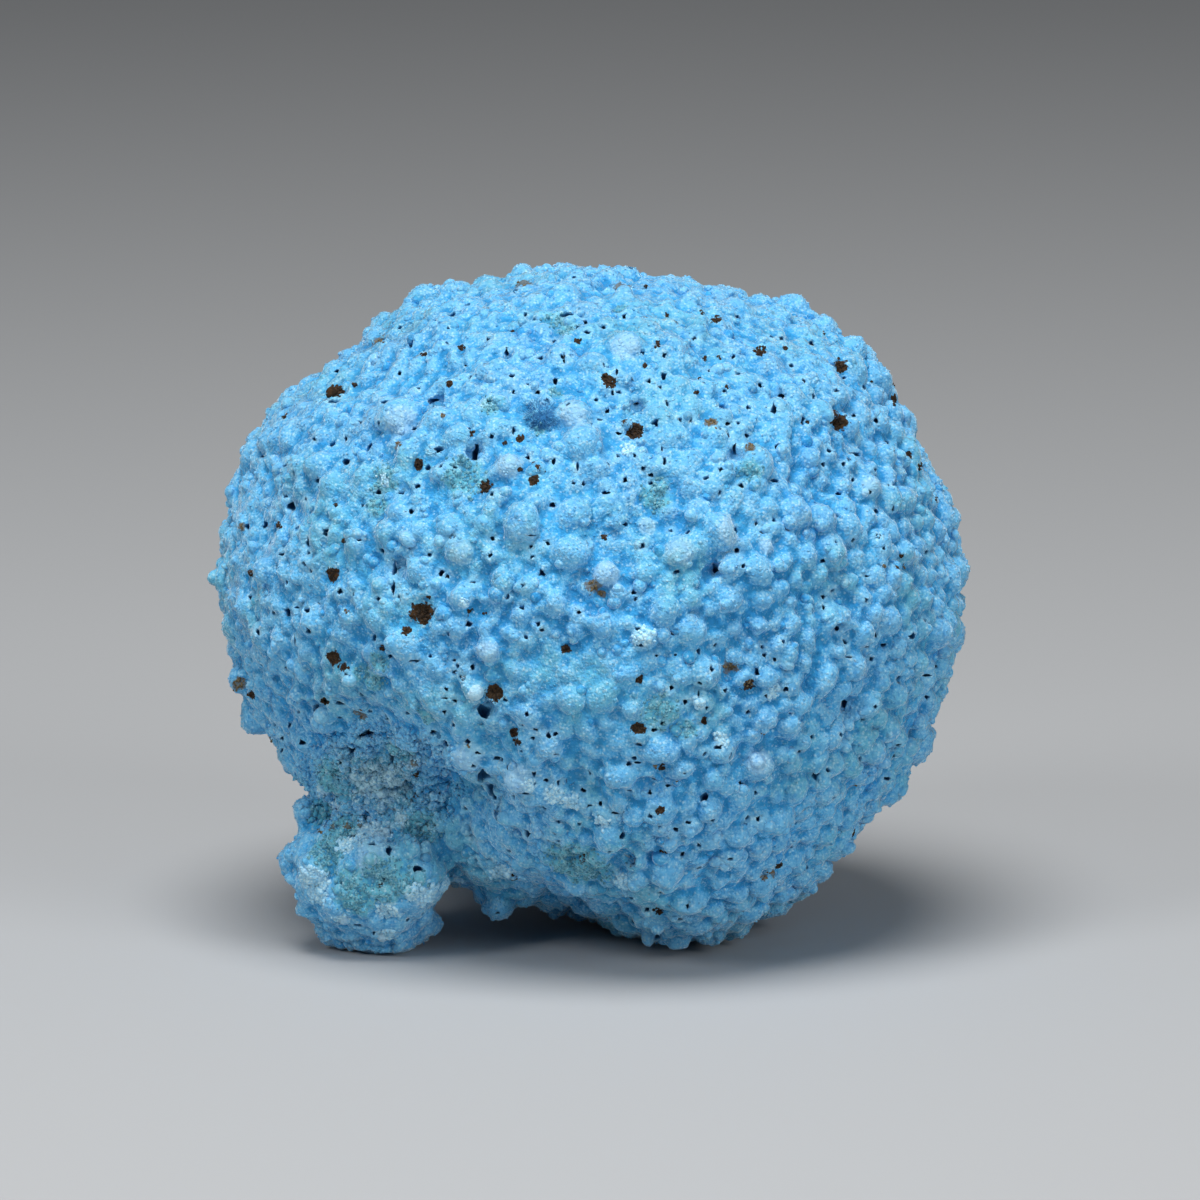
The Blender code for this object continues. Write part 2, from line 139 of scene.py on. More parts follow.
# Round pores of the front: across, up
PORES = (
    (-3.05, 2.92), (-3.0, 2.45), (-2.18, 3.1), (-0.1, 2.97), (-4.2, 0.45), (-3.48, -0.12), (2.1, 0.62),
    (2.15, 0.3), (-3.5, 0.97), (-0.65, -0.38), (-2.45, -1.25), (-2.7, -0.92), (-3.3, -1.6), (2.28, -1.2),
    (2.62, -1.38), (7.6, 1.95), (6.18, -2.02), (5.4, -3.9), (8.53, -2.1), (8.67, -2.47), (9.6, -1.8),
    (9.85, -3.1), (12.25, 3.17), (13.07, 3.25), (14.62, 2.85), (16.72, 2.67), (11.57, 0.4), (13.75, 0.25),
    (13.95, -2.7), (16.67, -0.75), (15.3, 0.8), (14.35, 3.42), (-11.62, 3.3), (-9.12, 3.3), (-9.05, 2.85),
    (-8.07, 2.52), (-7.0, 3.4), (-4.97, 3.32), (-5.07, 2.5), (-7.2, 1.45), (-10.65, 0.3), (-6.7, -3.05),
    (-6.85, -3.35), (-5.97, -3.1), (-14.35, 2.02), (-14.05, 1.7), (-13.67, 0.0), (-14.75, -0.1),
    (-15.25, -3.15), (-12.3, -3.5), (-2.25, 10.25), (-1.2, 10.06), (0.25, 10.3), (0.77, 9.7), (1.32, 7.5),
    (0.85, 7.07), (-0.9, 6.15), (-0.4, 6.1), (1.65, 6.27), (2.1, 7.5), (2.6, 6.85), (-3.2, 7.4), (2.95, 6.5),
    (2.95, 6.12), (6.82, 9.07), (6.42, 8.85), (4.45, 9.25), (7.8, 9.87), (7.35, 9.12), (7.75, 8.47),
    (6.45, 6.8), (7.47, 6.0), (3.97, 3.72), (9.12, 4.25), (14.17, 9.22), (13.07, 9.47), (11.85, 7.75),
    (12.62, 7.07), (11.57, 7.05), (14.2, 6.77), (14.32, 3.45), (13.9, 5.65), (-7.55, 7.0), (-8.72, 5.95),
    (-9.0, 4.7), (-6.97, 3.4), (-5.0, 8.42), (-5.12, 10.2), (-6.85, 6.9), (-5.0, 5.57), (-14.3, 5.3),
    (-15.3, 5.45), (-3.35, 14.5), (-2.9, 14.3), (-0.75, 13.9), (-0.32, 14.15), (-1.9, 13.2), (-2.55, 12.35),
    (-3.2, 11.07), (-2.72, 10.65), (-3.92, 10.67), (1.02, 10.6), (2.87, 11.2), (1.6, 14.45), (0.55, 13.9),
    (-0.9, 16.35), (6.7, -4.27), (4.02, -4.13), (3.55, -5.9), (5.65, -7.45), (9.7, -4.23), (-3.53, -6.0),
    (-1.82, -6.43), (-4.12, -8.1), (1.85, -7.93), (0.45, -9.95), (-3.9, -9.6), (-1.7, -10.8), (2.1, -7.65),
    (-7.35, -5.35), (-6.93, -6.0), (-6.2, -6.8), (-6.38, -8.38), (-6.35, -10.15), (-7.25, -4.2),
    (14.2, -5.08), (12.5, -6.5), (14.75, -8.7), (11.8, -8.25), (12.65, -5.9), (3.45, -11.13), (5.35, -12.0),
    (4.5, -12.45), (5.35, -13.15), (-7.87, -11.03), (-5.78, -12.75), (-5.1, -12.7), (-1.7, -11.8),
    (0.9, -12.35), (-8.45, -15.45), (-8.65, 10.85), (-1.45, 12.4), (3.65, 12.5), (3.45, 10.9), (10.0, 12.0),
    (9.0, 13.45), (9.5, 13.35), (12.25, 10.75), (11.1, 10.45), (-10.2, 10.2), (-11.6, 9.1), (-13.9, 8.3),
    (-9.6, 11.6), (-6.1, 11.4), (-7.2, 13.1), (-5.2, 13.3), (5.1, 13.3), (6.6, 13.1), (4.3, 14.1), (7.3, 11.6),
    (8.4, 11.0), (5.9, 11.7), (10.6, 11.2), (-10.9, 12.1), (-16.1, 3.1), (-17.1, 0.4), (-15.9, -0.4),
)

# Longer or wider openings of the front: across, up, width, height
OPENINGS = (
    (2.52, 2.97, 0.34, 0.34), (2.48, -2.0, 0.5, 0.22), (7.28, 2.72, 0.25, 0.4), (6.2, 1.78, 0.4, 0.4),
    (3.25, -2.52, 0.3, 0.15), (6.0, -3.2, 0.25, 0.3), (9.15, -2.7, 0.3, 0.3), (13.75, 1.45, 0.4, 0.12),
    (12.02, 0.72, 0.45, 0.2), (11.57, -0.1, 0.15, 0.35), (12.22, -1.15, 0.3, 0.3), (12.67, -1.85, 0.34, 0.34),
    (13.75, -2.1, 0.35, 0.14), (12.8, -2.58, 0.4, 0.15), (14.2, -1.5, 0.12, 0.35), (16.0, -1.6, 0.4, 0.4),
    (17.7, 1.75, 0.15, 0.35), (16.8, -3.5, 0.6, 0.2), (-7.67, 3.17, 0.4, 0.25), (-7.52, 1.62, 0.34, 0.34),
    (-5.9, 1.15, 0.4, 0.12), (-9.85, 1.8, 0.3, 0.7), (-9.9, 0.9, 0.22, 0.6), (-9.65, 0.35, 0.2, 0.4),
    (-11.92, 0.4, 0.15, 0.5), (-6.9, -2.75, 0.3, 0.2), (-6.45, -3.65, 0.25, 0.22), (-8.9, -2.8, 0.6, 0.2),
    (-15.5, 2.55, 0.4, 0.14), (-14.2, 3.1, 0.2, 0.5), (-14.2, 2.6, 0.4, 0.3), (-15.25, 1.12, 0.15, 0.3),
    (-12.6, 0.65, 0.3, 0.3), (-14.25, -0.25, 0.35, 0.25), (-14.17, -1.27, 0.34, 0.34), (-14.85, -1.8, 0.14, 0.5),
    (-16.7, -1.35, 0.3, 0.4), (-14.9, -3.45, 0.2, 0.4), (-3.87, 8.72, 0.25, 0.35), (0.42, 9.27, 0.3, 0.2),
    (0.02, 9.05, 0.14, 0.25), (2.22, 10.07, 0.3, 0.15), (1.37, 8.57, 0.3, 0.2), (-1.9, 7.17, 0.25, 0.35),
    (-0.67, 7.0, 0.25, 0.5), (0.72, 5.65, 0.5, 0.2), (-1.92, 5.0, 0.32, 0.32), (-2.97, 3.47, 0.45, 0.12),
    (3.77, 10.12, 0.2, 0.4), (6.62, 9.9, 0.45, 0.5), (6.85, 8.5, 0.14, 0.35), (7.12, 7.7, 0.25, 0.8),
    (5.0, 9.25, 0.2, 0.35), (9.1, 9.8, 0.3, 0.7), (9.5, 10.45, 0.45, 0.2), (3.52, 7.8, 0.15, 0.3),
    (3.65, 7.25, 0.25, 0.5), (5.72, 6.4, 0.4, 0.3), (6.4, 5.62, 0.2, 0.3), (8.22, 4.07, 0.15, 0.3),
    (8.6, 3.65, 0.4, 0.15), (13.25, 8.25, 0.25, 0.35), (13.15, 7.55, 0.9, 0.25), (13.07, 6.25, 0.2, 0.25),
    (14.85, 6.05, 0.14, 0.5), (15.07, 4.8, 0.15, 0.35), (16.0, 4.15, 0.3, 0.3), (15.17, 7.7, 0.3, 0.3),
    (-7.85, 10.25, 0.5, 0.25), (-10.3, 10.15, 0.6, 0.25), (-10.67, 9.1, 0.2, 0.4), (-7.7, 7.8, 0.5, 0.3),
    (-5.8, 7.6, 0.35, 1.3), (-10.65, 5.65, 0.3, 0.3), (-9.5, 5.6, 0.35, 0.2), (-15.35, 7.0, 0.6, 0.3),
    (-14.9, 6.55, 0.2, 0.4), (-12.95, 10.2, 0.6, 0.4), (-13.35, 3.65, 0.5, 0.4), (-14.75, 3.85, 0.3, 0.3),
    (-15.0, 4.95, 0.5, 0.5), (-12.3, 8.3, 0.2, 0.4), (-2.72, 15.6, 0.4, 0.15), (-1.3, 14.5, 0.9, 0.3),
    (-0.25, 13.65, 0.3, 0.2), (-4.25, 12.6, 0.25, 0.4), (-1.4, 12.3, 0.15, 0.5), (-4.02, 11.45, 0.35, 0.2),
    (0.62, 12.0, 0.15, 0.3), (1.25, 11.65, 0.15, 0.4), (1.4, 10.65, 0.35, 0.25), (2.6, 13.6, 0.25, 0.2),
    (0.25, 15.1, 0.3, 0.15), (5.32, -4.5, 0.15, 0.6), (4.67, -4.82, 0.28, 0.3), (5.75, -5.15, 0.16, 0.32),
    (8.76, -4.55, 0.26, 0.22), (3.15, -6.25, 0.38, 0.18), (6.35, -7.1, 0.45, 0.3), (6.97, -7.55, 0.28, 0.42),
    (4.65, -8.43, 0.28, 0.12), (3.82, -9.03, 0.32, 0.16), (6.05, -10.78, 0.32, 0.3), (7.75, -10.65, 0.22, 0.28),
    (8.33, -10.7, 0.2, 0.3), (4.85, -10.85, 0.36, 0.16), (10.4, -7.35, 0.28, 0.28), (8.2, -9.4, 0.25, 0.25),
    (-3.22, -5.45, 0.18, 0.32), (-2.8, -6.22, 0.28, 0.2), (-2.93, -6.65, 0.28, 0.22), (-2.17, -6.55, 0.24, 0.34),
    (-1.75, -7.45, 0.32, 0.16), (-4.5, -7.7, 0.3, 0.3), (-2.9, -8.5, 0.2, 0.5), (-2.9, -8.9, 0.22, 0.22),
    (-2.3, -8.75, 0.26, 0.22), (-1.65, -8.85, 0.22, 0.32), (-0.45, -9.25, 0.32, 0.3), (-0.1, -8.4, 0.16, 0.3),
    (2.3, -7.88, 0.38, 0.22), (1.88, -9.27, 0.36, 0.14), (2.9, -9.35, 0.22, 0.26), (0.38, -10.55, 0.28, 0.18),
    (-0.35, -10.05, 0.7, 0.25), (-3.3, -9.4, 0.4, 0.16), (-2.45, -10.1, 0.4, 0.3), (2.93, -10.55, 0.28, 0.28),
    (1.15, -10.4, 0.4, 0.16), (-5.87, -4.18, 0.28, 0.28), (-6.5, -3.6, 0.28, 0.26), (-6.83, -4.78, 0.32, 0.22),
    (-7.35, -4.65, 0.35, 0.12), (-5.4, -5.3, 0.6, 0.7), (-9.2, -5.4, 0.32, 0.26), (-10.25, -5.6, 0.3, 0.4),
    (-7.9, -6.35, 0.46, 0.3), (-7.25, -6.95, 0.4, 0.6), (-8.87, -6.78, 0.26, 0.22), (-8.45, -6.78, 0.26, 0.12),
    (-9.33, -7.2, 0.26, 0.16), (-5.7, -7.4, 0.4, 0.16), (-4.7, -7.65, 0.6, 0.3), (-5.9, -8.05, 0.26, 0.2),
    (-5.35, -8.5, 0.6, 0.95), (-5.0, -9.45, 0.55, 1.05), (-4.75, -10.4, 0.5, 1.0), (-7.55, -9.42, 0.32, 0.2),
    (-11.2, -6.45, 0.8, 0.4), (-12.0, -7.2, 0.6, 0.6), (-13.75, -5.3, 0.5, 0.6), (-13.3, -4.8, 0.4, 0.3),
    (-12.6, -4.9, 0.5, 0.2), (-14.7, -5.35, 0.4, 0.2), (-15.5, -6.7, 0.3, 0.3), (-15.5, -7.25, 0.3, 0.3),
    (-12.55, -8.0, 0.4, 0.4), (-12.7, -8.7, 0.4, 0.3), (-13.55, -8.25, 0.25, 0.25), (-16.0, -4.2, 0.3, 0.3),
    (12.55, -4.95, 0.4, 0.7), (12.7, -6.8, 0.3, 0.2), (13.4, -7.75, 0.35, 0.35), (12.1, -9.65, 0.26, 0.22),
    (15.3, -7.0, 0.35, 0.25), (16.75, -4.6, 0.3, 0.3), (6.35, -11.6, 0.2, 0.6), (4.2, -11.2, 0.35, 0.3),
    (6.9, -12.72, 0.34, 0.2), (6.65, -13.05, 0.3, 0.14), (3.42, -14.4, 0.3, 0.2), (4.8, -15.05, 0.24, 0.34),
    (5.55, -15.2, 0.34, 0.14), (4.2, -15.75, 0.6, 0.3), (2.75, -15.25, 0.34, 0.4), (1.9, -14.7, 0.6, 0.3),
    (-3.2, -11.4, 0.3, 0.4), (-2.2, -11.8, 0.3, 0.16), (-4.15, -12.3, 0.5, 0.16), (-6.2, -11.1, 0.45, 0.2),
    (-5.95, -11.5, 0.3, 0.8), (-8.3, -12.35, 0.4, 0.4), (-8.7, -13.2, 0.5, 0.4), (-11.0, -11.9, 0.5, 0.2),
    (-10.15, -12.25, 0.4, 0.6), (-11.7, -16.0, 0.5, 0.3), (-10.9, -16.4, 0.3, 0.3), (-9.2, -15.75, 0.3, 0.3),
)
PORE_WIDTH = 0.26
PORE_SEED = 7
PORE_SIDES = 8
SPREAD_PORES = 420
SPREAD_PORE_WIDTHS = (0.16, 0.42)
PORE_SPACING = 0.55

# Iron oxide specks of the front: across, up, width, height
SPECKS = (
    (-1.3, -2.18, 0.55, 0.45), (2.37, -3.67, 0.5, 0.3), (0.65, 3.42, 0.4, 0.3), (7.85, -4.0, 0.55, 0.75),
    (15.46, 2.48, 0.3, 0.3), (15.3, 1.85, 0.25, 0.5), (-8.15, 0.37, 0.2, 0.2), (-9.25, -1.3, 0.35, 0.55),
    (-10.47, -2.15, 0.36, 0.36), (-6.1, -0.3, 0.35, 0.18), (-5.35, -0.4, 0.3, 0.2), (-12.95, 1.55, 0.45, 0.9),
    (-12.9, -2.6, 0.9, 0.4), (-12.4, -3.1, 0.6, 0.4), (-17.05, 1.6, 0.2, 0.5), (-12.35, 3.25, 0.3, 0.3),
    (-3.55, 8.3, 0.4, 0.45), (-4.37, 8.1, 0.22, 0.22), (-2.8, 6.92, 0.3, 0.2), (-3.6, 6.8, 0.3, 0.3),
    (-2.9, 6.3, 0.55, 0.6), (2.15, 8.7, 1.1, 0.9), (15.85, 7.52, 0.45, 0.5), (16.4, 6.9, 0.35, 0.5),
    (17.22, 5.3, 0.3, 0.25), (15.1, 10.2, 0.25, 0.8), (10.8, 9.17, 0.25, 0.25), (-8.65, 7.05, 0.65, 0.6),
    (-6.0, 8.57, 0.3, 0.4), (-5.3, 5.9, 0.65, 0.7), (-15.35, 9.47, 0.3, 0.45), (-15.6, 4.0, 0.4, 0.4),
    (-12.85, 5.0, 0.3, 0.35), (-3.97, 13.72, 0.3, 0.25), (-0.7, 13.22, 0.45, 0.3), (0.9, 11.15, 0.8, 0.65),
    (0.65, 11.4, 0.5, 0.4), (2.67, 11.95, 0.28, 0.35), (-12.75, 10.7, 0.75, 0.85), (-11.85, 11.0, 0.35, 0.35),
    (-8.4, 12.55, 0.4, 0.4), (-6.5, 12.85, 0.45, 0.45), (-7.1, 11.05, 0.4, 0.4), (3.75, 14.45, 0.3, 0.3),
    (5.5, 14.7, 0.3, 0.3), (6.2, 14.25, 0.8, 0.25), (3.25, 13.05, 0.45, 0.45), (8.4, 12.7, 0.7, 0.6),
    (5.65, 12.3, 0.35, 0.35), (6.35, 12.4, 0.3, 0.3), (5.35, 11.35, 0.25, 0.25), (6.75, 10.9, 0.25, 0.25),
    (5.25, 10.65, 0.35, 0.35), (12.4, 11.95, 0.8, 0.85), (12.3, 9.15, 0.75, 1.1), (14.0, 11.15, 0.25, 0.25),
    (15.05, 11.0, 0.3, 0.3), (11.6, 13.6, 0.25, 0.25), (9.65, 12.85, 0.3, 0.3), (-13.35, -4.8, 0.5, 0.4),
    (-4.85, -4.4, 1.0, 0.8), (-17.0, -4.5, 0.6, 0.5), (-8.85, -8.5, 0.3, 0.5), (-8.75, -9.6, 0.5, 0.4),
    (-3.85, -6.35, 0.6, 0.5), (-3.7, -6.85, 0.5, 0.45), (2.35, -6.1, 0.75, 0.65), (5.6, -5.75, 0.3, 0.45),
    (3.5, -8.1, 0.35, 0.4), (3.4, -10.25, 0.55, 0.45), (3.55, -12.4, 0.45, 0.45), (3.3, -15.25, 0.5, 0.4),
    (-0.45, -12.5, 0.45, 0.3), (-3.9, -13.6, 0.4, 0.4), (-10.55, -14.0, 0.35, 0.3), (9.3, -13.0, 0.5, 0.4),
    (-8.4, -0.4, 1.3, 0.95),
)

# Paler, ochre stains and specks: across, up, width, height
OCHRE_SPECKS = (
    (6.9, -3.05, 0.9, 0.5), (7.8, -3.9, 0.5, 0.4), (14.6, 1.97, 0.35, 0.25), (15.6, 1.95, 0.25, 0.3),
    (-12.3, -0.3, 0.3, 0.3), (5.95, 9.1, 0.8, 0.65), (7.95, 7.92, 0.7, 0.55), (-9.65, 8.05, 0.6, 0.25),
    (-7.45, 9.47, 0.3, 0.3), (-17.5, 3.95, 0.25, 0.5), (-3.45, 16.05, 1.0, 0.25), (1.45, 15.85, 1.0, 0.2),
    (-10.65, 13.2, 1.0, 0.3), (8.55, -6.38, 0.45, 0.25), (3.15, -8.1, 0.3, 0.3), (4.3, -8.85, 0.2, 0.25),
    (-6.2, -7.1, 0.25, 0.25), (-11.5, -5.5, 0.2, 0.7), (-17.8, -4.1, 0.3, 0.5), (-16.0, -7.0, 0.25, 0.8),
    (13.15, -9.0, 0.3, 0.3), (9.0, -13.35, 0.6, 0.22), (8.6, -13.65, 0.5, 0.2), (-13.6, -11.3, 0.4, 0.3), (-12.9, -11.15, 0.5, 0.35),
    (-12.2, -11.05, 0.55, 0.35), (-11.6, -10.9, 0.3, 0.3), (-17.6, -3.9, 0.6, 0.9), (-8.95, -7.9, 0.35, 0.5),
    (0.1, 0.95, 0.5, 0.9), (0.5, 0.6, 0.5, 0.3),
)
SPREAD_SPECKS = 90
SPREAD_SPECK_WIDTHS = (0.25, 0.75)

# Teal granular patches, white crumbs and pale lilac beads: across, up, radius
TEAL_PATCHES = (
    (3.2, 5.4, 0.9), (-6.35, 6.4, 1.2), (-10.65, 5.0, 0.7), (-1.25, 13.8, 0.7), (-1.8, 10.6, 0.45),
    (1.45, 14.8, 0.5), (-10.6, -2.75, 0.6), (-10.9, -3.8, 0.7), (-10.35, 6.25, 0.9), (-5.05, 9.95, 0.6),
    (-1.8, 14.15, 0.8), (3.4, -5.4, 1.0), (4.7, -6.2, 0.6), (-8.3, -5.6, 0.6), (-0.7, -13.1, 2.0),
    (-9.6, -7.4, 1.0), (-9.5, -9.3, 0.9), (-10.6, -8.6, 1.8), (-12.5, -8.6, 1.6), (-13.4, -10.4, 0.9),
    (-12.4, -11.4, 1.0), (-10.4, -13.6, 1.4), (-11.8, -14.6, 1.2), (-9.0, -13.8, 0.9), (7.9, 6.7, 0.7),
    (-8.6, -11.0, 1.2), (-13.2, -12.5, 1.1), (-12.0, -14.0, 1.1), (3.5, 6.15, 0.45), (-2.6, 8.85, 0.4), (-11.45, -3.35, 0.6),
)
WHITE_CRUMBS = (
    (2.5, -1.6, 0.6), (1.85, 7.75, 0.35), (9.1, -4.3, 0.35), (6.55, -6.75, 0.4), (5.3, -4.9, 0.4),
    (-1.9, -9.5, 0.5), (-1.0, -9.8, 0.45), (0.5, -10.8, 0.4), (1.6, -13.75, 0.5), (-4.3, -13.2, 0.5),
    (-4.7, -13.4, 0.5), (-10.4, -11.3, 0.5), (-11.5, -11.6, 0.6), (-8.1, -14.6, 0.7), (-7.3, -14.1, 0.6),
    (-8.9, -14.4, 0.5), (-10.3, -16.4, 0.5), (-13.3, -9.3, 0.4), (-12.7, -9.9, 0.5), (-8.9, -8.0, 0.3),
    (-14.0, -13.8, 0.9), (-13.6, -14.5, 0.6), (-12.3, -12.0, 0.5), (-10.2, -15.2, 0.6), (-12.6, -15.6, 0.5), (-6.9, -13.7, 0.5), (-7.2, -15.0, 0.5), (-11.0, -11.2, 0.6), (-9.6, -10.7, 0.5),
    (-6.45, 0.0, 0.3), (-10.35, 6.25, 0.4), (-3.1, -9.0, 0.3), (-5.9, -4.55, 0.4), (-8.9, -7.6, 0.3),
)
PALE_BEADS = (
    (0.75, 1.45, 0.95), (-6.6, 2.65, 0.8), (-5.25, -2.5, 0.8), (8.83, 3.0, 0.55), (14.0, 6.0, 0.6),
    (-9.6, 9.2, 1.0), (1.7, 13.0, 0.9), (-11.0, -11.7, 1.0), (-10.8, -12.95, 1.1), (-3.7, -8.7, 0.9),
    (4.45, 2.7, 0.9), (7.0, 3.75, 0.9), (2.8, 4.0, 0.55), (-4.2, 7.1, 0.9), (-6.2, -7.7, 0.9), (8.4, -7.8, 0.8), (-0.95, 9.5, 0.8),
)

# The calm, bead-free band below the middle and the rough druse of the neck: across, up, half sizes
CALM_BAND = (1.2, -5.0, 3.9, 3.1)
DRUSE = (-10.6, -8.9, 3.4, 2.6)


class Finish(Enum):
    """The names of the finishes that the pieces wear."""

    CRUST = "shattuckite_crust"
    IRON = "iron_oxide_speck"
    OCHRE = "ochre_speck"
    NEEDLE = "azure_needles"
    CRUMB = "white_frost"
    DRUSE = "teal_druse"
    FLOOR = "pale_floor"


def deselect() -> None:
    """Deselects every object, because an operator acts on all that is selected."""
    bpy.ops.object.select_all(action="DESELECT")


def make_active(obj: bpy.types.Object) -> None:
    """Makes one object the only selected one and the active one."""
    deselect()
    obj.select_set(True)
    bpy.context.view_layer.objects.active = obj


def apply_all(obj: bpy.types.Object) -> None:
    """Applies an object's modifiers in order."""
    make_active(obj)
    for modifier in list(obj.modifiers):
        bpy.ops.object.modifier_apply(modifier=modifier.name)


def arrays_of(obj: bpy.types.Object) -> Arrays:
    """The points and the triangles of an object's mesh.

    Args:
        obj: The mesh object.

    Returns:
        An array of points and an array of three point numbers a triangle.
    """
    mesh = obj.data
    points = np.empty(len(mesh.vertices) * 3)
    mesh.vertices.foreach_get("co", points)
    mesh.calc_loop_triangles()
    faces = np.empty(len(mesh.loop_triangles) * 3, np.int64)
    mesh.loop_triangles.foreach_get("vertices", faces)
    return points.reshape(-1, 3), faces.reshape(-1, 3)


def normals_of(obj: bpy.types.Object) -> np.ndarray:
    """The way out at each point of an object's mesh."""
    normals = np.empty(len(obj.data.vertices) * 3)
    obj.data.vertices.foreach_get("normal", normals)
    return normals.reshape(-1, 3)


def tree_of(obj: bpy.types.Object) -> BVHTree:
    """A search tree over an object's triangles."""
    points, faces = arrays_of(obj)
    return BVHTree.FromPolygons(points.tolist(), faces.tolist())


def set_points(obj: bpy.types.Object, points: np.ndarray) -> None:
    """Moves an object's points to new places."""
    obj.data.vertices.foreach_set("co", points.ravel())
    obj.data.update()


def unit_ball(divisions: int) -> Arrays:
    """A ball of radius 1, added as a primitive, read and removed again.

    Args:
        divisions: How finely the ball is divided.

    Returns:
        Its points and triangles.
    """
    deselect()
    bpy.ops.mesh.primitive_ico_sphere_add(subdivisions=divisions, radius=1.0)
    ball = bpy.context.active_object
    points, faces = arrays_of(ball)
    bpy.data.objects.remove(ball, do_unlink=True)
    return points, faces


def delete(obj: bpy.types.Object) -> None:
    """Removes a helper object and its mesh."""
    mesh = obj.data
    bpy.data.objects.remove(obj, do_unlink=True)
    bpy.data.meshes.remove(mesh)


def lumpy_balls(divisions: int, count: int, lump: float) -> list[Arrays]:
    """A few uneven balls of radius 1, so that no two beads look the same.

    Args:
        divisions: How finely a ball is divided.
        count: How many are made.
        lump: How far their lumps stand out.

    Returns:
        The points and triangles of each.
    """
    points, faces = unit_ball(divisions)
    balls = []
    for index in range(count):
        away = Vector((7.1 * index, 3.3 * index, 1.7))
        reach = []
        for point in map(Vector, points):
            broad, close = noise.noise(point * 1.5 + away), noise.noise(point * 3.7 - away)
            reach.append(1 + lump * (broad + 0.45 * close))
        balls.append((points * np.array(reach)[:, None], faces))
    return balls


def random_turn(draw: random.Random) -> np.ndarray:
    """A turn in any direction, as a matrix."""
    quaternion = Quaternion([draw.gauss(0, 1) for _ in range(4)])
    return np.array(quaternion.normalized().to_matrix())


class Clay:
    """Closed shapes gathered as points and triangles, and then made one object."""

    def __init__(self) -> None:
        """Starts with nothing."""
        self.points: list[np.ndarray] = []
        self.faces: list[np.ndarray] = []
        self.count = 0

    def add(self, points: np.ndarray, faces: np.ndarray) -> None:
        """Adds one closed shape.

        Args:
            points: Its points.
            faces: Its triangles.
        """
        self.points.append(points)
        self.faces.append(faces + self.count)
        self.count += len(points)

    def add_copies(self, shape: Arrays, places: np.ndarray, turns: np.ndarray) -> None:
        """Adds many copies of one shape.

        Args:
            shape: The points and triangles of the shape.
            places: The middle of each copy.
            turns: For each copy the matrix that turns and sizes it.
        """
        points, faces = shape
        moved = np.einsum("nij,pj->npi", turns, points) + places[:, None, :]
        steps = np.arange(len(places))[:, None, None] * len(points)
        self.add(moved.reshape(-1, 3), (faces[None] + steps).reshape(-1, 3))

    def make(self, name: str) -> bpy.types.Object:
        """The gathered shapes as a new object in the scene."""
        mesh = bpy.data.meshes.new(name)
        mesh.from_pydata(np.concatenate(self.points).tolist(), [], np.concatenate(self.faces).tolist())
        obj = bpy.data.objects.new(name, mesh)
        bpy.context.scene.collection.objects.link(obj)
        return obj


@dataclass(frozen=True)
class Sight:
    """The line of sight that the places of the front are given along, in the design frame."""

    middle: Vector = Vector((0.0, 0.0, 16.5))
    rise: float = math.radians(10)
    distance: float = 400.0

    @property
    def across(self) -> Vector:
        """The way to the right of the picture."""
        return Vector((1.0, 0.0, 0.0))

    @property
    def up(self) -> Vector:
        """The way to the top of the picture."""
        return Vector((0.0, math.sin(self.rise), math.cos(self.rise)))

    @property
    def inward(self) -> Vector:
        """The way into the picture."""
        return Vector((0.0, math.cos(self.rise), -math.sin(self.rise)))

    @property
    def eye(self) -> Vector:
        """Where the picture is seen from."""
        return self.middle - self.inward * self.distance

    def meet(self, tree: BVHTree, across: float, up: float) -> tuple[Vector, Vector]:
        """Where the line of sight to a front place meets a surface.

        Args:
            tree: The surface.
            across: How far right of the ball's middle the place is seen.
            up: How far above it.

        Returns:
            The point, and the way out of the surface there.
        """
        towards = self.middle + self.across * across + self.up * up - self.eye
        point, normal, _, _ = tree.ray_cast(self.eye, towards.normalized())
        if point is None:
            point, normal, _, _ = tree.find_nearest(self.eye + towards)
        return point, normal

    def places(self, points: np.ndarray) -> np.ndarray:
        """How far across and up, and how far in front of the ball's middle, each point is seen."""
        away = points - np.array(self.eye)
        depth = away @ np.array(self.inward)
        shrink = self.distance / depth
        seen = (away @ np.array(self.across) * shrink, away @ np.array(self.up) * shrink, self.distance - depth)
        return np.stack(seen, axis=1)


SIGHT = Sight()


@dataclass(frozen=True)
class Swelling:
    """A broad swelling or hollow of the ball, as it is seen from the front."""

    across: float
    up: float
    width: float
    height: float


@dataclass(frozen=True)
class Lobe:
    """An egg-shaped part of the body."""

    middle: tuple[float, float, float]
    half_sizes: tuple[float, float, float]


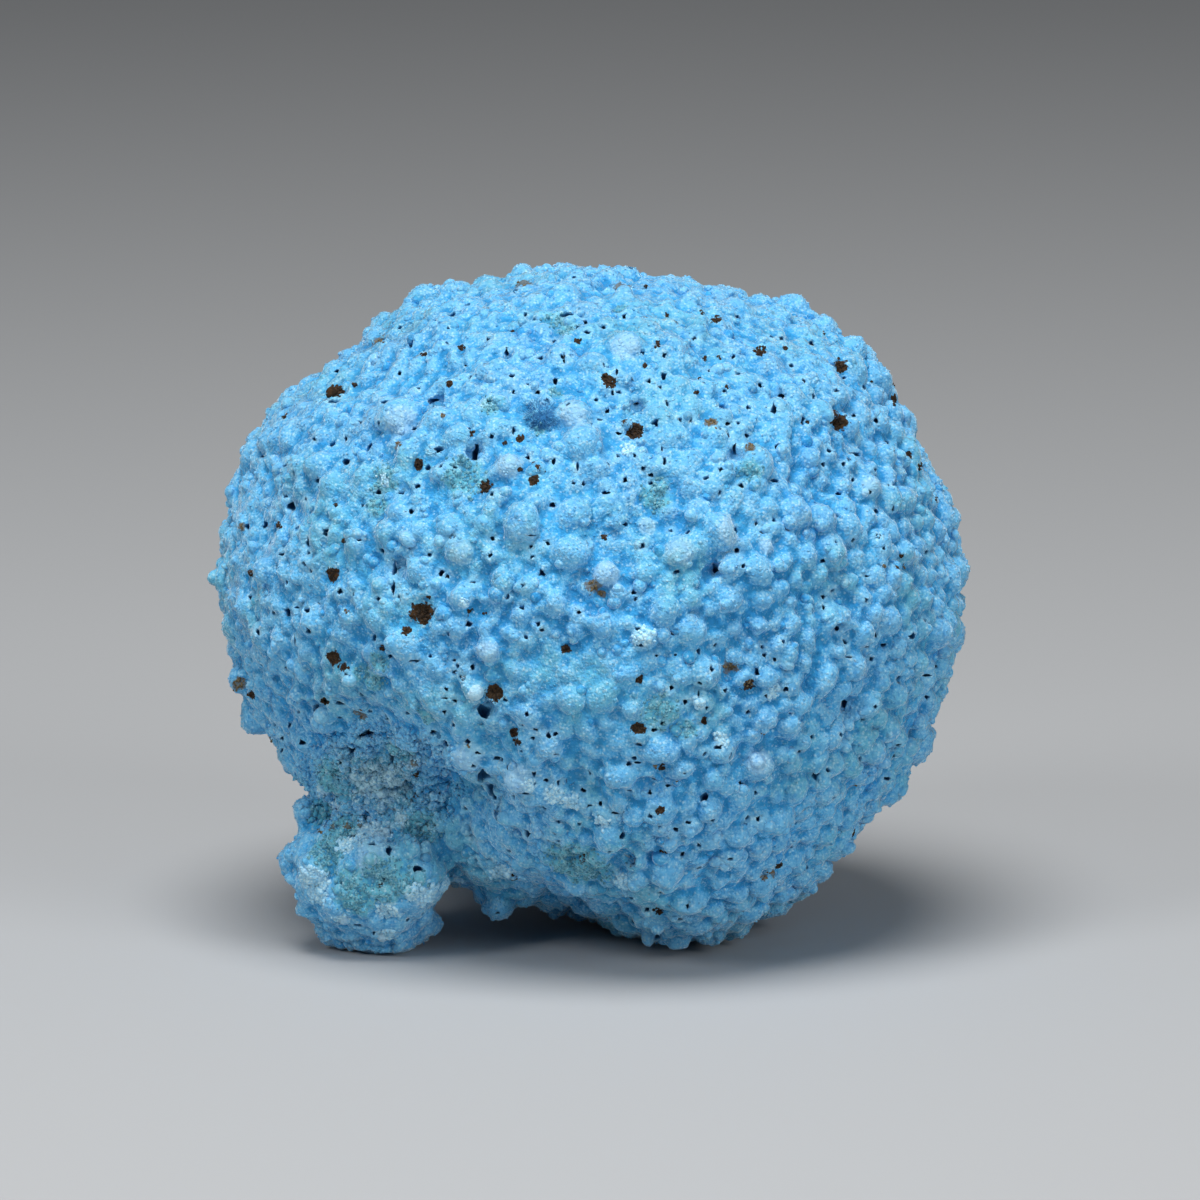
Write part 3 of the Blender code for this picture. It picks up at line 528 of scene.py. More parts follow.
@dataclass
class StoneBody:
    """The smooth body under the beads, with the sizes that the solid has: ball, neck and knob.

    Attributes:
        depth: The ball's half size along the line of sight.
        outline: The ball's radius every 15 degrees from the right, as it is seen from the front.
        roll_height: How high the slow roll of the surface is.
        roll_length: How long it is.
        voxel: The mesh size of the fused body.
    """

    depth: float = 17.4
    outline: tuple[float, ...] = (
        18.2, 18.3, 17.9, 18.1, 17.0, 16.6, 16.4, 16.6, 17.1, 17.2, 18.5, 18.5,
        18.3, 17.7, 16.8, 16.0, 15.2, 15.2, 15.6, 17.5, 17.7, 17.1, 17.4, 17.7,
    )
    swellings: tuple[Swelling, ...] = (
        Swelling(-8.6, -10.2, 3.6, -3.6), Swelling(-11.0, -7.0, 2.2, -1.3), Swelling(-1.5, -15.0, 2.6, -1.2),
        Swelling(-5.2, -9.8, 1.0, -0.7), Swelling(12.4, -5.0, 0.9, -1.0), Swelling(-13.5, 1.0, 3.2, 0.4),
        Swelling(-8.0, 8.0, 3.4, 0.35), Swelling(10.2, 14.6, 1.6, 0.5), Swelling(7.5, 2.0, 3.2, 0.45),
        Swelling(2.0, -4.5, 3.0, 0.4), Swelling(9.0, -9.5, 3.2, 0.35),
    )
    lobes: tuple[Lobe, ...] = (
        Lobe((-11.1, -5.1, 3.9), (3.7, 3.8, 3.4)), Lobe((-10.1, -4.9, 1.5), (2.3, 2.2, 2.0)),
        Lobe((-12.9, -5.6, 4.3), (2.1, 2.6, 2.3)), Lobe((-9.3, -7.2, 4.6), (2.0, 2.2, 1.8)),
        Lobe((-9.8, -4.2, 7.4), (3.2, 3.6, 3.6)), Lobe((-8.0, -3.2, 9.0), (3.8, 4.2, 3.4)),
        Lobe((-13.7, -4.6, 6.7), (1.0, 0.8, 0.75)), Lobe((-4.8, -4.2, 3.0), (0.75, 0.8, 1.4)),
    )
    roll_height: float = 0.34
    roll_length: float = 4.6
    voxel: float = 0.5
    ball_divisions: int = 6
    lobe_divisions: int = 4

    def outline_radius(self, angle: float) -> float:
        """The ball's outline at an angle from the right, on a smooth closed curve through its radii."""
        count = len(self.outline)
        place = (angle / math.tau * count) % count
        first = int(place)
        t = place - first
        before, start, end, after = (self.outline[(first + k - 1) % count] for k in range(4))
        bend = 2 * before - 5 * start + 4 * end - after
        twist = 3 * (start - end) + after - before
        return start + 0.5 * t * (end - before + t * (bend + t * twist))

    def plain_point(self, direction: Vector) -> Vector:
        """The plain ball's point in a direction from its middle."""
        x, z = direction.dot(SIGHT.across), direction.dot(SIGHT.up)
        y = direction.dot(SIGHT.inward)
        reach = 1 / math.hypot(math.hypot(x, z) / self.outline_radius(math.atan2(z, x)), y / self.depth)
        return SIGHT.middle + direction * reach

    def ball(self) -> Arrays:
        """The ball's points, raised by its swellings and its slow roll, and its triangles."""
        directions, faces = unit_ball(self.ball_divisions - 1)
        plain = [self.plain_point(Vector(direction).normalized()) for direction in directions]
        tree = BVHTree.FromPolygons(plain, faces.tolist())
        centres = [(SIGHT.meet(tree, one.across, one.up)[0], one) for one in self.swellings]
        directions, faces = unit_ball(self.ball_divisions)
        points = []
        for direction in map(Vector, directions):
            point = self.plain_point(direction.normalized())
            rise = self.roll_height * noise.noise(point / self.roll_length)
            for centre, one in centres:
                rise += one.height * math.exp(-((point - centre).length_squared) / one.width**2)
            points.append(point + direction * rise)
        return np.array(points), faces

    def build(self) -> bpy.types.Object:
        """The ball and its lobes fused into one even skin.

        Returns:
            The body as a helper object, in millimetres.
        """
        clay = Clay()
        clay.add(*self.ball())
        points, faces = unit_ball(self.lobe_divisions)
        for lobe in self.lobes:
            clay.add(points * np.array(lobe.half_sizes) + np.array(lobe.middle), faces)
        body = clay.make("stone_body")
        fuse(body, self.voxel)
        return body


def fuse(obj: bpy.types.Object, voxel: float) -> None:
    """Fuses all that an object holds into one even skin.

    Args:
        obj: The object.
        voxel: The mesh size of the skin.
    """
    modifier = obj.modifiers.new("fuse", "REMESH")
    modifier.mode = "VOXEL"
    modifier.voxel_size = voxel
    modifier.adaptivity = 0.0
    apply_all(obj)


class Spots:
    """Places that keep their distance from each other, found quickly by a grid."""

    def __init__(self, cell: float) -> None:
        """Starts an empty grid.

        Args:
            cell: The size of a grid cell, at least the widest distance that is asked for.
        """
        self.cell = cell
        self.grid: dict[tuple[int, ...], list[tuple[Vector, float]]] = {}

    def home(self, point: Vector) -> tuple[int, ...]:
        """The grid cell that a point is in."""
        return tuple(int(math.floor(value / self.cell)) for value in point)

    def add(self, point: Vector, radius: float) -> None:
        """Takes a place."""
        self.grid.setdefault(self.home(point), []).append((point, radius))

    def crowded(self, point: Vector, radius: float, clearance: float) -> bool:
        """Whether a place would crowd one that is already there.

        Args:
            point: The place.
            radius: Its radius.
            clearance: The least distance, as a share of the two radii together.

        Returns:
            True where it would.
        """
        x, y, z = self.home(point)
        for dx in (-1, 0, 1):
            for dy in (-1, 0, 1):
                for dz in (-1, 0, 1):
                    for other, size in self.grid.get((x + dx, y + dy, z + dz), ()):
                        if (other - point).length < clearance * (size + radius):
                            return True
        return False


@dataclass
class BeadSpread:
    """Where the beads of the crust stand and how large they are.

    Attributes:
        fill_seed: The seed of the lesser beads that fill the gaps.
        fill_radii: The least and the greatest radius of such a bead.
    """

    fill_seed: int = 12
    fill_radii: tuple[float, float] = (0.28, 0.85)
    gap_seed: int = 19
    gap_radii: tuple[float, float] = (0.2, 0.38)
    front_facing: float = 0.2

    def places(self, body: bpy.types.Object, tree: BVHTree) -> list[Place]:
        """All the beads: the listed ones of the front, the solid's own elsewhere, and the fill.

        Args:
            body: The smooth body.
            tree: A search tree over it.

        Returns:
            For each bead its point on the body, the way out there, its radius and its sink.
        """
        large = [(*SIGHT.meet(tree, x, z), radius, LARGE_SINK) for x, z, radius in LARGE_BEADS]
        spread = self.solid_spread(body, large)
        kept = list(large)
        spots = Spots(2 * SPREAD_RADII[1])
        for point, _, radius, _ in large:
            spots.add(point, radius)
        lesser = [(*SIGHT.meet(tree, x, z), radius, LESSER_SINK) for x, z, radius in LESSER_BEADS]
        behind = [place for place in spread if not self.faces_front(place[0], place[1])]
        for place in lesser + behind:
            if not spots.crowded(place[0], place[2], 0.6):
                kept.append(place)
                spots.add(place[0], place[2])
        kept += self.fill(body, spots)
        for x, z, radius in WIDE_HOLLOWS:
            spots.add(SIGHT.meet(tree, x, z)[0], 0.8 * radius)
        kept += self.pack_gaps(body, spots)
        return kept

    def faces_front(self, point: Vector, normal: Vector) -> bool:
        """Whether a point of the body faces the line of sight."""
        return normal.dot((SIGHT.eye - point).normalized()) > self.front_facing

    def solid_spread(self, body: bpy.types.Object, large: list[Place]) -> list[Place]:
        """The beads that the solid has between its large ones, drawn as the solid draws them."""
        draw = random.Random(SPREAD_SEED)
        sites = [(vert.co.copy(), vert.normal.copy()) for vert in body.data.vertices]
        sites.sort(key=lambda site: tuple(round(value, 3) for value in site[0]))
        draw.shuffle(sites)
        spots = Spots(2 * SPREAD_RADII[1])
        for point, _, radius, _ in large:
            spots.add(point, radius)
        spread = []
        for point, normal in sites:
            radius = draw.uniform(*SPREAD_RADII)
            if point.z < radius or spots.crowded(point, radius, SPREAD_CLEARANCE):
                continue
            spread.append((point, normal, radius, SPREAD_SINK))
            spots.add(point, radius)
        return spread

    def fill(self, body: bpy.types.Object, spots: Spots) -> list[Place]:
        """The lesser beads that fill the gaps, by the character of each region.

        Args:
            body: The smooth body.
            spots: The places that are taken, to which the new ones are added.

        Returns:
            The new beads.
        """
        draw = random.Random(self.fill_seed)
        sites = [(vert.co.copy(), vert.normal.copy()) for vert in body.data.vertices]
        sites.sort(key=lambda site: tuple(round(value, 3) for value in site[0]))
        draw.shuffle(sites)
        seen = SIGHT.places(np.array([site[0] for site in sites]))
        added = []
        for (point, normal), (across, up, depth) in zip(sites, seen):
            least, most = self.fill_radii
            radius = least + (most - least) * draw.random() ** 1.6
            keep, chance = draw.random(), draw.random()
            density, sink, clearance = region_character(point, across, up, depth)
            radius += 0.22 * (clearance - 0.68) / 0.16
            if point.z < radius or keep > density:
                continue
            if spots.crowded(point, radius, clearance):
                continue
            added.append((point, normal, radius, sink + 0.25 * (chance - 0.5)))
            spots.add(point, radius)
        return added

    def pack_gaps(self, body: bpy.types.Object, spots: Spots) -> list[Place]:
        """The least beads, in the gaps that the others leave."""
        draw = random.Random(self.gap_seed)
        sites = [(vert.co.copy(), vert.normal.copy()) for vert in body.data.vertices]
        sites.sort(key=lambda site: tuple(round(value, 3) for value in site[0]))
        draw.shuffle(sites)
        seen = SIGHT.places(np.array([site[0] for site in sites]))
        added = []
        for (point, normal), (across, up, depth) in zip(sites, seen):
            radius = draw.uniform(*self.gap_radii)
            density, _, clearance = region_character(point, across, up, depth)
            if point.z < radius or draw.random() > density or spots.crowded(point, radius, clearance - 0.04):
                continue
            added.append((point, normal, radius, draw.uniform(-0.1, 0.35)))
            spots.add(point, radius)
        return added


def inside_oval(oval: tuple[float, float, float, float], across: float, up: float) -> float:
    """How far inside an oval of the front a place is: 1 at its middle, 0 on its rim and less outside."""
    middle_x, middle_z, half_x, half_z = oval
    return 1 - math.hypot((across - middle_x) / half_x, (up - middle_z) / half_z)


def region_character(point: Vector, across: float, up: float, depth: float) -> tuple[float, float, float]:
    """How densely a region is beaded and how deep its beads are sunk.

    The right and the lower right are packed with round beads; the top and the left are a flatter crust.
    The unseen sides pass from one to the other and back.

    Args:
        point: The point of the body.
        across: How far right it is seen.
        up: How far up it is seen.
        depth: How far in front of the middle it is.

    Returns:
        The share of places that are beaded, the sink of the beads and how close they stand.
    """
    if depth > 0:
        packed = smooth_step((across * 0.9 - up * 0.45 - 1.0) / 8.0)
        if inside_oval(CALM_BAND, across, up) > 0 or inside_oval(DRUSE, across, up) > 0.1:
            return 0.25, 0.6, 0.8
    else:
        packed = smooth_step(noise.noise(point / 9.0) * 1.6 + 0.5)
    return 0.9 + 0.1 * packed, 0.52 - 0.36 * packed, 0.68 + 0.16 * packed


def smooth_step(value: float) -> float:
    """A value eased from 0 to 1."""
    t = min(max(value, 0.0), 1.0)
    return t * t * (3 - 2 * t)


class Net:
    """The edges of a mesh, for values that are evened out along them."""

    def __init__(self, obj: bpy.types.Object) -> None:
        """Reads the edges.

        Args:
            obj: The mesh object.
        """
        mesh = obj.data
        ends = np.empty(len(mesh.edges) * 2, np.int64)
        mesh.edges.foreach_get("vertices", ends)
        self.starts, self.ends = ends.reshape(-1, 2).T
        self.count = len(mesh.vertices)
        self.valence = np.bincount(self.starts, minlength=self.count) + np.bincount(self.ends, minlength=self.count)

    def even(self, values: np.ndarray, rounds: int) -> np.ndarray:
        """Values, one or more a point, evened out with those of their neighbours."""
        values = values.reshape(self.count, -1)
        for _ in range(rounds):
            columns = []
            for column in values.T:
                total = np.bincount(self.starts, weights=column[self.ends], minlength=self.count)
                total += np.bincount(self.ends, weights=column[self.starts], minlength=self.count)
                columns.append(0.5 * (column + total / np.maximum(self.valence, 1)))
            values = np.stack(columns, axis=1)
        return values


def outward_push(points: np.ndarray, normals: np.ndarray, net: Net, rounds: int) -> np.ndarray:
    """How far each point stands out of the evened surface around it; less than nothing in a hollow."""
    return ((points - net.even(points, rounds)) * normals).sum(axis=1)


def store(obj: bpy.types.Object, name: str, values: np.ndarray) -> None:
    """Keeps a value a point as an attribute that the finishes read."""
    attribute = obj.data.attributes.new(name, "FLOAT", "POINT")
    attribute.data.foreach_set("value", values.astype(np.float32))


def near_spots(points: np.ndarray, spots: list[tuple[Vector, float]]) -> np.ndarray:
    """How far inside the nearest of some round spots each point is: 1 at its middle, 0 on its rim."""
    inside = np.full(len(points), -1.0)
    for middle, radius in spots:
        near = np.abs(points - np.array(middle)).max(axis=1) < 2 * radius
        gap = np.linalg.norm(points[near] - np.array(middle), axis=1)
        inside[near] = np.maximum(inside[near], 1 - gap / radius)
    return inside


@dataclass
class Crust:
    """The whole beaded skin of the nodule, which stands for its solid.

    Attributes:
        voxel: The mesh size at which the beads are fused with the body.
        relax: How far the fused skin is evened, and relax_rounds how often.
        triangles: How many triangles the skin keeps before its pores are cut.
    """

    voxel: float = 0.135
    relax: float = 0.35
    relax_rounds: int = 1
    triangles: int = 178000
    bead_divisions: int = 3
    bead_kinds: int = 8
    bead_lump: float = 0.1
    bead_seed: int = 5

    def build(self, body: bpy.types.Object, tree: BVHTree) -> bpy.types.Object:
        """The skin with its beads, hollows and grain.

        Args:
            body: The smooth body.
            tree: A search tree over it.

        Returns:
            The skin, in millimetres.
        """
        clay = Clay()
        clay.add(*arrays_of(body))
        places = BeadSpread().places(body, tree)
        LOG.info("beads: %d", len(places))
        self.add_beads(clay, places)
        skin = clay.make("shattuckite_skin")
        fuse(skin, self.voxel)
        even = skin.modifiers.new("even", "SMOOTH")
        even.factor = self.relax
        even.iterations = self.relax_rounds
        apply_all(skin)
        LOG.info("fused skin: %d points", len(skin.data.vertices))
        self.sink_hollows(skin)
        self.roughen(skin, tree)
        self.stand(skin)
        self.thin(skin)
        LOG.info("thinned skin: %d faces", len(skin.data.polygons))
        return skin

    def add_beads(self, clay: Clay, places: list[Place]) -> None:
        """Adds an uneven ball for each bead.

        Args:
            clay: Where they are added.
            places: The beads.
        """
        draw = random.Random(self.bead_seed)
        balls = lumpy_balls(self.bead_divisions, self.bead_kinds, self.bead_lump)
        middles: list[list[Vector]] = [[] for _ in balls]
        turns: list[list[np.ndarray]] = [[] for _ in balls]
        for point, normal, radius, sink in places:
            kind = draw.randrange(len(balls))
            middles[kind].append(point - normal * (sink * radius))
            stretch = np.diag([radius * draw.uniform(0.9, 1.12) for _ in range(3)])
            turns[kind].append(random_turn(draw) @ stretch @ random_turn(draw))
        for ball, spots, ways in zip(balls, middles, turns):
            clay.add_copies(ball, np.array(spots), np.array(ways))

    def sink_hollows(self, skin: bpy.types.Object) -> None:
        """Pushes in the wide hollows that the solid has, and a dent under each iron speck."""
        points, _ = arrays_of(skin)
        normals = normals_of(skin)
        tree = tree_of(skin)
        hollows = [(*SIGHT.meet(tree, x, z), radius, HOLLOW_DEPTH) for x, z, radius in WIDE_HOLLOWS]
        draw = random.Random(SPREAD_SEED)
        for _ in range(SPREAD_HOLLOWS):
            turn, rise = draw.uniform(0, math.tau), draw.uniform(-0.6, 1)
            away = Vector((math.cos(turn), abs(math.sin(turn)), rise)).normalized()
            point, normal, _, _ = tree.find_nearest(SIGHT.middle + away * StoneBody.depth)
            hollows.append((point, normal, draw.uniform(*SPREAD_HOLLOW_RADII), HOLLOW_DEPTH))
        for x, z, width, height in SPECKS:
            hollows.append((*SIGHT.meet(tree, x, z), 0.34 * (width + height), 0.4))
        pushed = np.zeros(len(points))
        for point, normal, radius, depth in hollows:
            near = ((points - np.array(point)) ** 2).sum(axis=1) / radius**2
            close = np.flatnonzero(near < 2.5)
            uneven = [1 + 0.9 * noise.noise(Vector(points[index]) * 1.9) for index in close]
            near[close] *= np.array(uneven)
            facing = normals @ np.array(normal) > 0
            pushed = np.maximum(pushed, np.where(facing, depth * radius * np.clip(1 - near, 0, 1) ** 1.5, 0))
        set_points(skin, points - normals * pushed[:, None])

    def roughen(self, skin: bpy.types.Object, tree: BVHTree) -> None:
        """Raises the crust's lumps and grain out of the skin, most in the druse, least in the calm band.

        Args:
            skin: The skin.
            tree: A search tree over the smooth body.
        """
        points, _ = arrays_of(skin)
        seen = SIGHT.places(points)
        front = seen[:, 2] > 0
        calm = self.oval_weight(seen, CALM_BAND) * front
        druse = self.oval_weight(seen, DRUSE) * front
        packed = np.clip((seen[:, 0] * 0.9 - seen[:, 1] * 0.45 - 1.0) / 8.0, 0, 1) * front
        domes = [(SIGHT.meet(tree, x, z)[0], 1.9 * radius) for x, z, radius in LARGE_BEADS + LESSER_BEADS]
        dome = np.clip(2 * near_spots(points, domes), 0, 1)
        share = {
            "swells": (1 - 0.3 * calm) * (1 - 0.3 * dome),
            "lumps": (0.8 - 0.4 * calm - 0.2 * packed * (1 - calm)) * (1 - 0.6 * dome),
            "knots": (0.7 - 0.3 * calm + 0.3 * druse - 0.35 * packed * (1 - calm) * (1 - druse)) * (1 - 0.5 * dome),
            "grain": 0.7 + 0.3 * druse,
        }
        for name, texture, strength in (
            ("swells", self.texture("crust_swells", "CLOUDS", 2.8), 1.0),
            ("lumps", self.texture("crust_lumps", "CLOUDS", 1.2), 0.4),
            ("knots", self.texture("crust_knots", "CLOUDS", 0.5), 0.3),
            ("grain", self.texture("crust_grain", "CLOUDS", 0.24), 0.14),
        ):
            group = skin.vertex_groups.new(name=name)
            levels = np.round(share[name] * 10).astype(int)
            for level in range(11):
                group.add(np.flatnonzero(levels == level).tolist(), level / 10, "REPLACE")
            push = skin.modifiers.new(name, "DISPLACE")
            push.texture = texture
            push.texture_coords = "LOCAL"
            push.vertex_group = name
            push.strength = strength
            push.mid_level = 0.5
        apply_all(skin)
        self.roughen_druse(skin, druse)

    def roughen_druse(self, skin: bpy.types.Object, druse: np.ndarray) -> None:
        """Breaks up the neck, where the crust is torn and needly instead of beaded."""
        points, _ = arrays_of(skin)
        normals = normals_of(skin)
        inside = np.flatnonzero(druse > 0.05)
        pushed = np.zeros(len(points))
        for index in inside:
            place = Vector(points[index])
            torn = noise.turbulence(place * 0.9, 3, True) + 0.6 * noise.turbulence(place * 2.6, 2, True)
            pushed[index] = druse[index] * (0.75 - torn)
        set_points(skin, points + normals * (0.9 * pushed)[:, None])

    def oval_weight(self, seen: np.ndarray, oval: tuple[float, float, float, float]) -> np.ndarray:
        """How much each point belongs to an oval of the front, fading out at its rim."""
        gap = np.hypot((seen[:, 0] - oval[0]) / oval[2], (seen[:, 1] - oval[1]) / oval[3])
        return np.clip((1.15 - gap) / 0.4, 0, 1)

    def texture(self, name: str, kind: str, size: float) -> bpy.types.Texture:
        """A noise that displaces the skin.

        Args:
            name: Its name.
            kind: Its kind.
            size: The size of its lumps in millimetres.

        Returns:
            The texture.
        """
        texture = bpy.data.textures.new(name, kind)
        texture.noise_scale = size
        texture.noise_depth = 2
        return texture

    def stand(self, skin: bpy.types.Object) -> None:
        """Presses what would reach below the feet flat onto the ground."""
        points, _ = arrays_of(skin)
        points[:, 2] = np.maximum(points[:, 2], 0.0)
        set_points(skin, points)

    def thin(self, skin: bpy.types.Object) -> None:
        """Thins the skin, the side away from the front more than the front."""
        points, faces = arrays_of(skin)
        away = (normals_of(skin) @ np.array(SIGHT.inward)) > 0.15
        group = skin.vertex_groups.new(name="away")
        group.add(np.flatnonzero(away).tolist(), 1.0, "REPLACE")
        group.add(np.flatnonzero(~away).tolist(), 0.2, "REPLACE")
        thin = skin.modifiers.new("thin", "DECIMATE")
        thin.ratio = self.triangles / len(faces)
        thin.vertex_group = "away"
        thin.vertex_group_factor = 1.0
        apply_all(skin)
        skin.vertex_groups.clear()


@dataclass
class Pores:
    """The pores and openings that are cut into the crust.

    Attributes:
        levels: For each ring of a cutter its depth and its share of the width.
    """

    levels: tuple[tuple[float, float], ...] = ((-0.3, 1.12), (0.06, 1.0), (0.4, 0.85), (0.85, 0.45))

    def cut(self, skin: bpy.types.Object, tree: BVHTree) -> None:
        """Cuts all pores into the skin.

        Args:
            skin: The skin, in millimetres.
            tree: A search tree over it.
        """
        draw = random.Random(PORE_SEED)
        spots = Spots(2.0)
        clay = Clay()
        front = [(x, z, PORE_WIDTH, PORE_WIDTH) for x, z in PORES] + list(OPENINGS)
        for x, z, width, height in front:
            point, normal = SIGHT.meet(tree, x, z)
            if spots.crowded(point, 0.0, 0.0):
                continue
            spots.add(point, max(width, height) / 2)
            self.add_cutter(clay, point, normal, width, height, draw)
        for point, normal in self.spread(tree, spots, draw):
            width = draw.uniform(*SPREAD_PORE_WIDTHS)
            self.add_cutter(clay, point, normal, width, width * draw.uniform(0.6, 1.4), draw)
        cutter = clay.make("pore_cutters")
        make_active(cutter)
        bpy.ops.object.mode_set(mode="EDIT")
        bpy.ops.mesh.select_all(action="SELECT")
        bpy.ops.mesh.normals_make_consistent(inside=False)
        bpy.ops.object.mode_set(mode="OBJECT")
        before = len(skin.data.polygons)
        boolean = skin.modifiers.new("pores", "BOOLEAN")
        boolean.operation = "DIFFERENCE"
        boolean.object = cutter
        boolean.solver = "MANIFOLD"
        apply_all(skin)
        LOG.info("pores cut: %d faces before, %d after", before, len(skin.data.polygons))
        delete(cutter)

    def spread(self, tree: BVHTree, spots: Spots, draw: random.Random) -> list[tuple[Vector, Vector]]:
        """Pores over the rest of the crust, where chance puts them, none close to another."""
        found = []
        while len(found) < SPREAD_PORES:
            away = Vector((draw.gauss(0, 1), draw.gauss(0, 1), draw.gauss(0, 1))).normalized()
            point, normal, _, _ = tree.find_nearest(SIGHT.middle + away * StoneBody.depth)
            if point.z < 1.0 or spots.crowded(point, PORE_SPACING, 1.0):
                continue
            spots.add(point, PORE_SPACING)
            found.append((point, normal))
        return found

    def add_cutter(
        self, clay: Clay, point: Vector, normal: Vector, width: float, height: float, draw: random.Random
    ) -> None:
        """Adds one tapered, uneven cutter.

        Args:
            clay: Where it is added.
            point: The middle of its mouth.
            normal: The way out of the crust there.
            width: The mouth's width.
            height: Its height.
            draw: The source of its unevenness.
        """
        towards = (SIGHT.eye - point).normalized()
        out = (normal + 0.8 * towards).normalized() if normal.dot(towards) > 0 else normal
        side = SIGHT.up.cross(out).normalized()
        rise = out.cross(side)
        turn = draw.uniform(-0.5, 0.5)
        wobble = [draw.uniform(0.55, 1.3) for _ in range(PORE_SIDES)]
        depth = 0.55 + 0.5 * min(width, height)
        points = []
        for level, share in self.levels:
            for index in range(PORE_SIDES):
                angle = math.tau * index / PORE_SIDES + turn
                reach = share * wobble[index] * draw.uniform(0.88, 1.12)
                flat = side * (math.cos(angle) * width / 2 * reach) + rise * (math.sin(angle) * height / 2 * reach)
                points.append(point + flat - out * (level * (depth if level > 0 else 1.0)))
        points.append(point + out * 0.4)
        points.append(point - out * (depth * 1.0))
        rings = len(self.levels)
        faces = []
        for ring in range(rings - 1):
            for index in range(PORE_SIDES):
                after = (index + 1) % PORE_SIDES
                a, b = ring * PORE_SIDES + index, ring * PORE_SIDES + after
                c, d = a + PORE_SIDES, b + PORE_SIDES
                faces += [(a, c, b), (b, c, d)]
        top, tip = rings * PORE_SIDES, rings * PORE_SIDES + 1
        last = (rings - 1) * PORE_SIDES
        for index in range(PORE_SIDES):
            after = (index + 1) % PORE_SIDES
            faces += [(top, index, after), (tip, last + after, last + index)]
        clay.add(np.array(points), np.array(faces))


SHADE_NAMES = ("azure", "crest", "swell", "sunk", "rim", "teal", "white", "lilac", "iron", "ochre", "druse")


@dataclass
class Shades:
    """The values a point that tell the crust's finish where it is teal, brown or white, where it paints crests pale,
    partly as a painted highlight, and where it darkens creases and pores as painted shade.
    """

    def paint(self, skin: bpy.types.Object, uncut: BVHTree) -> None:
        """Keeps the values on the skin.

        Args:
            skin: The skin with its pores, in millimetres.
            uncut: A search tree over the skin before its pores were cut.
        """
        points, _ = arrays_of(skin)
        normals = normals_of(skin)
        net = Net(skin)
        fine = net.even(outward_push(points, normals, net, 3), 1)[:, 0]
        broad = net.even(outward_push(points, normals, net, 16), 2)[:, 0]
        # The finish paints crests pale by these, partly as a painted highlight, and darkens creases by them as a
        # painted shade
        store(skin, "crest", np.clip(0.5 + fine * 9.0, 0, 1))
        store(skin, "swell", np.clip(0.5 + broad * 2.2, 0, 1))
        # Depth below the uncut skin, by which the finish paints the pores dark: a painted shade
        sunk = np.array([uncut.find_nearest(point)[3] for point in map(Vector, points)])
        wide = [(SIGHT.meet(uncut, x, z)[0], 0.9 * max(w, h)) for x, z, w, h in OPENINGS if min(w, h) > 0.6]
        store(skin, "sunk", np.clip(sunk / np.where(near_spots(points, wide) > 0, 1.0, 0.3), 0, 1))
        for name, spots in (
            ("teal", TEAL_PATCHES),
            ("white", WHITE_CRUMBS),
            ("lilac", PALE_BEADS),
            ("azure", [(NeedleTuft.across, NeedleTuft.up, 1.1 * NeedleTuft.radius)]),
            ("rim", [(x, z, 0.42) for x, z in PORES] + [(x, z, 0.28 + 0.5 * max(w, h)) for x, z, w, h in OPENINGS]),
            ("iron", [(x, z, 0.5 * max(w, h)) for x, z, w, h in SPECKS]),
            ("ochre", [(x, z, 0.5 * max(w, h)) for x, z, w, h in OCHRE_SPECKS]),
        ):
            found = [(SIGHT.meet(uncut, x, z)[0], radius) for x, z, radius in spots]
            store(skin, name, near_spots(points, found))
        seen = SIGHT.places(points)
        gap = np.hypot((seen[:, 0] - DRUSE[0]) / DRUSE[2], (seen[:, 1] - DRUSE[1]) / DRUSE[3])
        store(skin, "druse", np.where(seen[:, 2] > 0, np.clip(1.3 - gap, 0, 1), 0))


